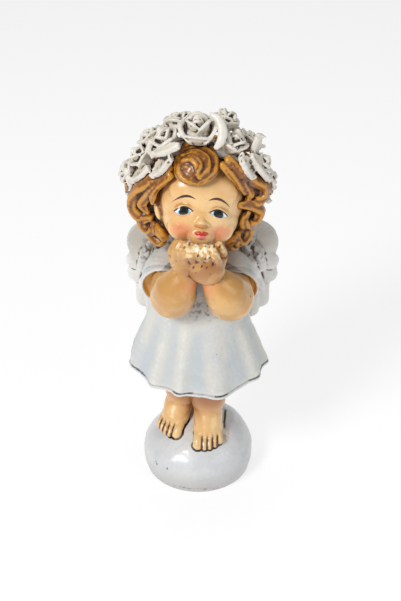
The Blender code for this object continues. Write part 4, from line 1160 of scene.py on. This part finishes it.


# Paints. Each has two tones that change in patches of a given scale, a wash that also gives the painted
# shade, and how much of each stays

skin = {
    "paint": tint(205, 153, 86), "second": tint(225, 176, 108), "wash": tint(156, 91, 38),
    "pit": tint(60, 22, 12), "blush": tint(232, 126, 84),
    "scale": 0.10, "patches": (0.40, 0.62), "gloss": 0.31, "coat": 0.5,
    "crevices": 0.9, "folds": 0.75, "shade": 0.5, "joints": 0.6,
}
fairSkin = {**skin, "paint": tint(238, 190, 126), "second": tint(250, 210, 150)}
white = {
    "scale": 0.07, "patches": (0.42, 0.66), "gloss": 0.42, "coat": 0.2,
    "crevices": 1.25, "folds": 1.2, "shade": 0.40, "joints": 0.7, "flecks": 0.2, "highlight": 0.30,
}
rosePaint = {
    **white,
    "paint": tint(222, 213, 197), "second": tint(202, 192, 175), "wash": tint(110, 94, 72),
    "pit": tint(38, 28, 20),
}
paints = {
    "stone": {
        **white,
        "paint": tint(230, 231, 232), "second": tint(220, 222, 225), "wash": tint(140, 132, 122),
        "pit": tint(34, 20, 16), "crevices": 1.0, "folds": 0.5, "shade": 0.08, "joints": 1.0, "flecks": 0.08,
        "highlight": 0.2, "gloss": 0.35, "coat": 0.22, "waviness": 0.12,
    },
    "dress": {
        **white,
        "paint": tint(219, 218, 211), "second": tint(208, 211, 211), "wash": tint(142, 134, 126),
        "pit": tint(50, 40, 38), "crevices": 0.9, "folds": 0.6, "shade": 0.50, "joints": 0.6, "flecks": 0.14,
        "highlight": 0.3, "gloss": 0.40, "fluteShade": tint(168, 186, 206),
    },
    "roses": rosePaint,
    "foliage": rosePaint,
    "wings": {
        **white,
        "paint": tint(228, 225, 219), "second": tint(202, 196, 187), "wash": tint(120, 104, 82),
        "pit": tint(44, 36, 32), "folds": 1.15, "shade": 0.55, "flecks": 0.3, "highlight": 0.45,
    },
    "legs": {**fairSkin, "crevices": 0.5, "folds": 0.8, "joints": 0.4},
    "arms": skin,
    "head": {
        **fairSkin,
        "pit": features["hairline"], "crevices": 0.15, "folds": 0.35, "shade": 0.45, "joints": 0.8,
        "gloss": 0.29, "coat": 0.55,
    },
    "hair": {
        "paint": tint(124, 70, 20), "second": tint(160, 98, 32), "light": tint(228, 162, 52),
        "wash": tint(88, 42, 14), "pit": tint(32, 12, 5), "scale": 0.12, "patches": (0.3, 0.78),
        "gloss": 0.32, "coat": 0.32, "crevices": 1.15, "folds": 1.0, "shade": 0.62, "joints": 0.9,
        "speckle": 0.15,
    },
}


class Paint:
    # one material while its coats are laid on, each over the colour that is there
    def __init__(self, name):
        self.values = paints[name]
        self.material = bpy.data.materials.new(finishes[name][2])
        self.material.use_nodes = True
        self.tree = self.material.node_tree
        self.patch = cloud(objectPlace(self.tree), self.values["scale"], 3.0)
        mask = self.patch.ramp(*self.values["patches"])
        self.colour = over(self.tree, self.values["paint"], self.values["second"], mask)

    def lay(self, shade, mask):
        # the shade is a colour, or the name of one among the values
        shade = self.values[shade] if isinstance(shade, str) else shade
        self.colour = over(self.tree, self.colour, shade, mask)

    def spots(self, name):
        return attribute(self.tree, name)

    def antiqueAndShade(self):
        # lays the wash, with painted shade in the folds and hollows; the mask of both also dulls the gloss
        labels = ("Wash", "Pit", "Crevices", "Folds", "Shade", "Joints", "Speckle")
        strengths = {label: self.values.get(label.lower()) for label in labels}
        washed = useGroup(self.tree, wash, Paint=self.colour, **strengths)
        self.colour, self.dirtAndShade = washed["Colour"], washed["Mask"]

    def finish(self):
        shader = self.tree.nodes["Principled BSDF"]
        waviness = self.values.get("waviness", 0.3)
        surface = useGroup(self.tree, skinOfPaint, Waviness=waviness, Grit=0.15)
        rough = surface["Unevenness"] * 0.22 + (self.values["gloss"] - 0.11) + self.dirtAndShade * 0.25
        finished = {
            "Base Color": self.colour,
            "Roughness": rough,
            "Normal": surface["Normal"],
            "Coat Weight": self.values["coat"],
            "Coat Roughness": 0.24,
        }
        for label, value in finished.items():
            feed(value, shader.inputs[label])
        return self.material


def skinPaint(name):
    paint = Paint(name)
    # blush paint on the forearms, and painted shade on the legs towards the hem
    paint.lay("blush", paint.spots("blush") * 0.75)
    # painted shade in the wash colour under the dress and between the legs, and wash with painted shade over
    # the hands
    paint.lay("wash", paint.spots("grime") * 0.85)
    paint.antiqueAndShade()
    paint.lay(tint(80, 40, 25), useGroup(paint.tree, flecks, Amount=0.10)["Specks"])
    paint.lay(tint(70, 28, 20), paint.spots("marks"))
    paint.lay(tint(252, 238, 200), paint.spots("chips"))
    return paint.finish()


def whitePaint(name):
    paint = Paint(name)
    paint.antiqueAndShade()
    # bluish painted shade in the hollows of the pleats
    if "fluteShade" in paint.values:
        paint.lay("fluteShade", paint.spots("fluteShade") * 0.34)
    paint.lay(tint(96, 84, 74), useGroup(paint.tree, flecks, Amount=paint.values["flecks"])["Specks"])
    paint.lay(tint(248, 248, 248), paint.spots("ridge") * paint.values["highlight"])
    # grime on the wings, painted shade on the dress under the arms and low on the stone
    paint.lay("wash", paint.spots("grime") * 0.85)
    paint.lay("pit", paint.spots("marks"))
    paint.lay(tint(222, 170, 90), paint.spots("smudge"))
    return paint.finish()


def hairPaint(name):
    paint = Paint(name)
    # painted highlight along the ridges of the locks
    paint.lay("light", paint.spots("ridge") * 0.65)
    paint.antiqueAndShade()
    return paint.finish()


def lipCoats(x, z):
    line = z + 10.45 - (x * x) * 0.03
    upperEdge = (x.size() - 0.75).size() * -0.42 + 1.35
    upper = line.ramp(-0.08, 0.05) * (upperEdge - line).ramp(-0.10, 0.10) * x.size().ramp(2.35, 2.05)
    lowerEdge = (x * x) * -0.42 + 1.45
    lower = line.ramp(0.08, -0.05) * (lowerEdge + line).ramp(-0.12, 0.12)
    parting = line.size().ramp(0.16, 0.06) * x.size().ramp(2.0, 1.6) * 0.7
    return (features["upperLip"], upper), (features["lowerLip"], lower), (features["parting"], parting)


def eyeCoats(x, z, side):
    out, high, shift, tilt = features["eye"]
    u = (x - shift) * side - out  # positive towards the ear
    v = z - high + x * tilt + u * 0.16
    top = (u * u) * -0.16 + u * 0.03 + 1.42
    under = (u * u) * 0.12 - 1.10
    opening = (top - v).ramp(-0.08, 0.08) * (v - under).ramp(-0.08, 0.08)
    across, up = u + 0.10, (v - 0.22) * 0.88
    pupil = (across * across + up * up).math("SQRT").ramp(1.62, 1.52)
    blue = (across * across + (up + 0.55) * (up + 0.55)).math("SQRT").ramp(2.05, 1.90)
    corner = (v - under).size().ramp(0.22, 0.10) * (u.size() - 2.7).size().ramp(1.0, 0.3) * 0.6
    rise = (u * u) * -0.12 - u * 0.12 + 5.0
    width = (u * u) * -0.028 + 0.44
    return (
        (features["white"], opening),
        (features["blue"], blue * opening * (v - 0.35).ramp(0.3, -0.3)),
        (features["pupil"], pupil * opening),
        (features["lash"], (v - top - 0.08).size().ramp(0.36, 0.22) * u.size().ramp(3.3, 2.9)),
        (features["corner"], corner),
        (features["crease"], (v - top - 1.1).size().ramp(0.60, 0.12) * u.size().ramp(3.4, 2.0) * 0.8),
        (features["brow"], (width - (v - rise).size()).ramp(-0.10, 0.08) * u.size().ramp(3.9, 3.5)),
    )


def facePaint(name):
    paint = Paint(name)
    x, y, z = parts(attribute(paint.tree, "facePlace", "Vector"))
    front = y.ramp(-6.0, -8.0)
    # painted shade: darker tan up the forehead towards the hair
    forehead = (z - 7.0) / 6.0 + (paint.patch - 0.5) * 1.2
    paint.lay(tint(196, 148, 90), forehead.ramp(-0.9, 0.7) * front * 0.95)
    for side in (-1, 1):
        u, v = (x - side * 6.4) / 4.8, (z + 9.6) / 3.4
        paint.lay("blush", (u * u + v * v).ramp(1.0, 0.0) * 0.7 * front)
    paint.antiqueAndShade()
    u, v = (x + 0.3) / 2.6, (z + 7.35) / 1.0
    # the warm brown under the nose is nostril paint and painted shade
    coats = [(features["nose"], (u * u + v * v).ramp(1.15, 0.55) * 0.8)]  # warm brown underneath
    coats += [*lipCoats(x, z), *eyeCoats(x, z, -1), *eyeCoats(x, z, 1)]
    coats += [(tint(252, 240, 214), paint.spots("chips")), (tint(90, 46, 26), paint.spots("marks"))]
    for shade, mask in coats:
        paint.lay(shade, mask * front)
    return paint.finish()


# Spots that the brush and the years left, given in millimetres

spots = {
    "hand": (  # dark dashes on the front hand: place and reach
        (1.9, -25.0, 111.5, 1.0),
        (4.3, -25.0, 110.5, 1.2),
        (5.8, -25.0, 111.3, 1.0),
        (2.1, -25.0, 109.1, 1.1),
        (3.2, -25.0, 107.4, 0.9),
        (4.7, -25.0, 107.0, 0.7),
        (6.8, -25.0, 108.0, 0.9),
        (0.4, -25.0, 106.3, 0.9),
        (8.7, -24.0, 112.4, 0.8),
        (1.2, -25.0, 104.6, 0.5),
        (6.0, -25.0, 104.8, 0.5),
    ),
    "stone": ((10.4, 0.6, 20.4, 0.6), (-15.0, -13.0, 9.5, 0.45), (-10.4, -16.0, 9.6, 0.4)),
    "wings": (  # dirty patches on the side that shows: across, height, half width, half height
        (-15.5, 92.0, 9.0, 11.0),
        (18.0, 93.0, 7.0, 10.0),
        (14.5, 84.0, 5.0, 6.0),
    ),
}


def dots(co, places, spread, lean=0.6):
    # short slanting strokes
    mask = np.zeros(len(co))
    for x, y, z, reach in places:
        offset = co - np.array((x, y, z))
        along = offset[:, 0] * lean - offset[:, 2] * (1 - lean * lean) ** 0.5
        across = offset[:, 0] * (1 - lean * lean) ** 0.5 + offset[:, 2] * lean
        distance = (along / (spread[1] * reach)) ** 2 + (across / (spread[0] * reach)) ** 2
        mask = np.maximum(mask, ramp(-distance, -1.3, -0.6) * (np.abs(offset[:, 1]) < 6))
    return mask


def speckle(co, scale, threshold):
    values = np.array([noise.noise(Vector(p) * scale) for p in co])
    return ramp(values, threshold, threshold + 0.12)


def awayFrom(co, centre, size):
    return np.linalg.norm((co - np.array(centre)) / np.array(size), axis=1)


def touching(piece, other, reach, shell=0.3):
    # dark wash left in the joint where one form meets another
    tree = skinTree(other)
    low, high = (np.array(c) for c in (other.bound_box[0], other.bound_box[6]))
    co = perVertex(piece, "co")
    mask = np.zeros(len(co))
    close = np.all((co > low - reach) & (co < high + reach), axis=1).nonzero()[0]
    for i in close:
        hit = tree.find_nearest(Vector(co[i]), reach)
        if hit[0] is not None:
            mask[i] = 1 - hit[3] / reach
    return ramp(mask, 1 - shell - 0.35, 1 - shell)


def armSpots(piece, co):
    near = ramp(-awayFrom(co, spot(3.5, -21, 84), (10, 9, 11)), -1.1, -0.5)
    top = ramp(co[:, 2], spot(0, 0, 84.5).z, spot(0, 0, 89).z)
    row = ramp(-np.abs(co[:, 2] - 114.6 + 0.012 * (co[:, 0] - 2.4) ** 2), -0.9, -0.3)  # along the fingertips
    row *= ramp(-np.abs(co[:, 0] - 2.6), -5.4, -4.6) * ramp(np.sin(co[:, 0] * 4.6), -0.5, 0.3)
    return {
        "contact": touching(piece, pieces["dress"], 0.9),
        "chips": speckle(co, 0.9, 0.05) * top * near,
        "marks": np.maximum(dots(co, spots["hand"], (0.32, 0.75), -0.5), 0.9 * row * (co[:, 1] < -19)),
        # brown wash and painted shade over the front of the hands, below the fingertips
        "grime": 0.85 * near * ramp(-top, -1.1, -0.2) * (0.6 + 0.4 * speckle(co, 0.25, -0.2)),
        "blush": 0.75 * ramp(-awayFrom(co, spot(2.5, -19.5, 73.5), (11, 9, 5)), -1, -0.1),
    }


def headSpots(piece, co):
    local = (np.c_[co, np.ones(len(co))] @ np.array(headPlace.inverted()).T)[:, :3]
    keep(piece, "facePlace", local, "FLOAT_VECTOR")
    mouth = np.exp(-(((local[:, 0] / 5.5) ** 2) + ((local[:, 2] + 10.6) / 3.2) ** 2))
    chips = speckle(co, 1.1, 0.30) * ramp(mouth, 0.45, 0.8) * (np.abs(local[:, 2] + 10.5) > 1.6)
    return {"contact": touching(piece, pieces["hair"], 0.9), "chips": chips}


def legSpots(piece, co):
    between = np.exp(-(((co[:, 0] + 1.0) / 3.2) ** 2)) * ramp(co[:, 2], 24, 30)
    marks = np.zeros(len(co))
    for start, end, up in slits:
        run, offset, up = np.array(end - start), co - np.array(start), np.array(up)
        run -= (run @ up) * up
        offset -= np.outer(offset @ up, up)
        share = np.clip(offset @ run / (run @ run), 0, 1.1)
        reach = np.linalg.norm(offset - np.outer(share, run), axis=1)
        slit = ramp(-reach, -0.34 - 0.30 * share, -0.08 - 0.22 * share) * ramp(share, 0.28, 0.55)
        marks = np.maximum(marks, slit)
    return {
        "contact": touching(piece, pieces["stone"], 1.2),
        "marks": marks,
        # painted shade towards the hem of the dress and between the legs
        "grime": np.maximum(0.85 * ramp(co[:, 2], 25, 36), 0.9 * between),
        # painted shade in the blush colour, towards the hem
        "blush": 0.55 * ramp(co[:, 2], 27, 36),
    }


def stoneSpots(piece, co):
    rim = ramp(-np.abs(co[:, 2] - stone["lipHeight"] - 0.5), -0.6, -0.15)
    smudge = 0.75 * speckle(co, 0.7, -0.02) * ramp(-awayFrom(co, (11.4, -7.0, 19.0), (1.8, 4.2, 4)), -1, -0.4)
    return {
        "contact": np.maximum(touching(piece, pieces["legs"], 1.7), 0.60 * rim),
        "marks": dots(co, spots["stone"], (0.7, 1.3)),
        "smudge": smudge,
        # painted shade, darker towards the bottom
        "grime": 0.55 * ramp(-co[:, 2], -15, -1),
    }


def hairSpots(piece, co):
    return {"contact": np.maximum(*(touching(piece, pieces[name], 1.0) for name in ("foliage", "roses")))}


def dressSpots(piece, co):
    top, low = dress["sections"][0][0], dress["sections"][-1][0]
    drop = (spot(0, 0, top).z - co[:, 2]) / (top - low)
    angle = np.arctan2(co[:, 1], co[:, 0])
    # where the bluish painted shade lies in the hollows of the pleats
    fluteShade = ramp(-pleatWave(angle), -0.5, 1.1) * ramp(drop, 0.35, 0.75) * ramp(-drop, -1.04, -0.98)
    keep(piece, "fluteShade", fluteShade)
    line = co[:, 2] + np.array([hemDrop(a) for a in angle]) - spot(0, 0, low).z + 0.35
    hemLine = ramp(-np.abs(line), -0.42, -0.14) * (0.35 + 0.65 * speckle(co, 0.16, -0.12))
    chest = np.exp(-(((co[:, 0] - 3.0) / 6.0) ** 2) - ((co[:, 2] - 81.0) / 4.5) ** 2) * (co[:, 1] < -5)
    smudge = np.zeros(len(co))
    for side in (-1, 1):
        cuff, heading = (np.array(v) for v in cuffPlace(side))
        offset = co - cuff
        along = offset @ heading
        radial = np.linalg.norm(offset - np.outer(along, heading), axis=1)
        inside = ramp(-radial, -dress["cuff"] * 0.985, -dress["cuff"] * 0.95) * ramp(along, -4.5, -3.5)
        smudge = np.maximum(smudge, inside * (along < 1.5))
    return {
        "contact": touching(piece, pieces["arms"], 1.3, 0.5),
        "marks": np.maximum(hemLine, 0.6 * ramp(chest, 0.2, 0.8) * speckle(co, 0.9, 0.18)),
        "smudge": smudge,
        # painted shade on the front of the dress under the arms
        "grime": 0.3 * ramp(chest, 0.1, 0.9),
    }


def wingSpots(piece, co):
    streaks = speckle(co * np.array((1.0, 1.0, 0.6)), 1.0, 0.10)
    blots = 0.45 + 0.55 * speckle(co, 0.35, -0.15)
    marks, grime = np.zeros(len(co)), 0.38 * ramp(co[:, 2], 82, 97)
    for x, z, wide, tall in spots["wings"]:
        patch = ramp(-awayFrom(co, (x, 9, z), (wide, 9, tall)), -1.2, -0.2) * ramp(-co[:, 1], -12.5, -10.5)
        grime = np.maximum(grime, patch * blots)
        marks = np.maximum(marks, 0.95 * patch * streaks)
    return {"marks": marks, "grime": grime}


print("Marking the paint")
finishes = {  # how each piece is marked and painted, and what its paint is called
    "stone": (stoneSpots, whitePaint, "stone paint"),
    "legs": (legSpots, skinPaint, "leg paint"),
    "dress": (dressSpots, whitePaint, "dress paint"),
    "arms": (armSpots, skinPaint, "arm paint"),
    "head": (headSpots, facePaint, "face paint"),
    "hair": (hairSpots, hairPaint, "hair paint"),
    "roses": (None, whitePaint, "rose paint"),
    "foliage": (None, whitePaint, "leaf paint"),
    "wings": (wingSpots, whitePaint, "wing paint"),
}
for name, piece in pieces.items():
    co = perVertex(piece, "co")
    marking = finishes[name][0]
    found = marking(piece, co) if marking else {}
    for label in ("contact", "marks", "smudge", "grime", "chips", "blush"):
        keep(piece, label, found.get(label, np.zeros(len(co))))

print("Setting the pieces in place")
for name, piece in pieces.items():
    piece.data.transform(Matrix.Scale(mm, 4))
    piece.data.materials.clear()
    piece.data.materials.append(finishes[name][1](name))
    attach(piece, "root")
    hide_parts("angel_figurine")


# Floor, light and camera

studio = {
    "target": Vector((1.0, 0.0, 76.3)) * mm,
    "turn": 4.0,
    "height": 35.0,
    "distance": 0.4,
    "lens": 66.49,
    "floor": 15.0,  # half the floor's side, in metres
    "aim": (0, 0, 0.08),
    "lights": {  # place, size, power, colour
        "key": ((-0.35, -0.45, 0.55), 0.22, 3.2, (1, 1, 1)),
        "fill": ((0.5, -0.35, 0.35), 0.4, 0.7, (0.95, 0.97, 1)),
        "top": ((0.0, 0.15, 0.75), 0.4, 1.2, (1, 1, 1)),
    },
    "air": 0.22,  # how much light comes from all sides
    "backdrop": 0.76,  # how much brighter the camera sees it
}


def show(name, data):
    thing = bpy.data.objects.new(name, data)
    bpy.context.scene.collection.objects.link(thing)
    return thing


def floor():
    form = bmesh.new()
    bmesh.ops.create_grid(form, x_segments=1, y_segments=1, size=studio["floor"])
    mesh = bpy.data.meshes.new("floor")
    form.to_mesh(mesh)
    form.free()
    mesh.transform(Matrix.Translation((0, 0, -0.00005)))
    sheet = show("floor", mesh)
    material = bpy.data.materials.new("pale floor")
    material.use_nodes = True
    shader = material.node_tree.nodes["Principled BSDF"]
    pale = {
        "Base Color": (0.34, 0.34, 0.34),
        "Roughness": 0.8,
        "Emission Color": (1, 1, 1),
        "Emission Strength": 0.72,
    }
    for label, value in pale.items():
        feed(value, shader.inputs[label])
    mesh.materials.append(material)


def softbox(name, place, size, power, colour):
    light = bpy.data.lights.new(name, "AREA")
    light.shape = "ELLIPSE"
    light.size = light.size_y = size
    light.energy = power
    light.color = colour
    lamp = show(name, light)
    lamp.location = place
    lamp.rotation_euler = (Vector(studio["aim"]) - Vector(place)).to_track_quat("-Z", "Y").to_euler()


def air():
    world = bpy.data.worlds.new("studio")
    world.use_nodes = True
    tree = world.node_tree
    backdrop = tree.nodes["Background"]
    seen = Field(tree, tree.nodes.new("ShaderNodeLightPath").outputs["Is Camera Ray"])
    feed((1, 1, 1), backdrop.inputs["Color"])
    feed(seen * studio["backdrop"] + studio["air"], backdrop.inputs["Strength"])
    bpy.context.scene.world = world


def camera():
    lens = bpy.data.cameras.new("camera")
    lens.sensor_fit = "VERTICAL"
    lens.sensor_height = 36
    lens.lens = studio["lens"]
    lens.clip_start = 0.01
    eye = show("camera", lens)
    back = outward(studio["turn"], studio["height"])
    eye.location = studio["target"] + back * studio["distance"]
    eye.rotation_euler = (-back).to_track_quat("-Z", "Y").to_euler()
    bpy.context.scene.camera = eye


floor()
for name, light in studio["lights"].items():
    softbox(name, *light)
air()
camera()
bpy.context.scene.view_settings.view_transform = "Standard"

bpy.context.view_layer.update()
print("Pieces:", sum(len(p.data.polygons) * 2 for p in pieces.values()), "triangles")
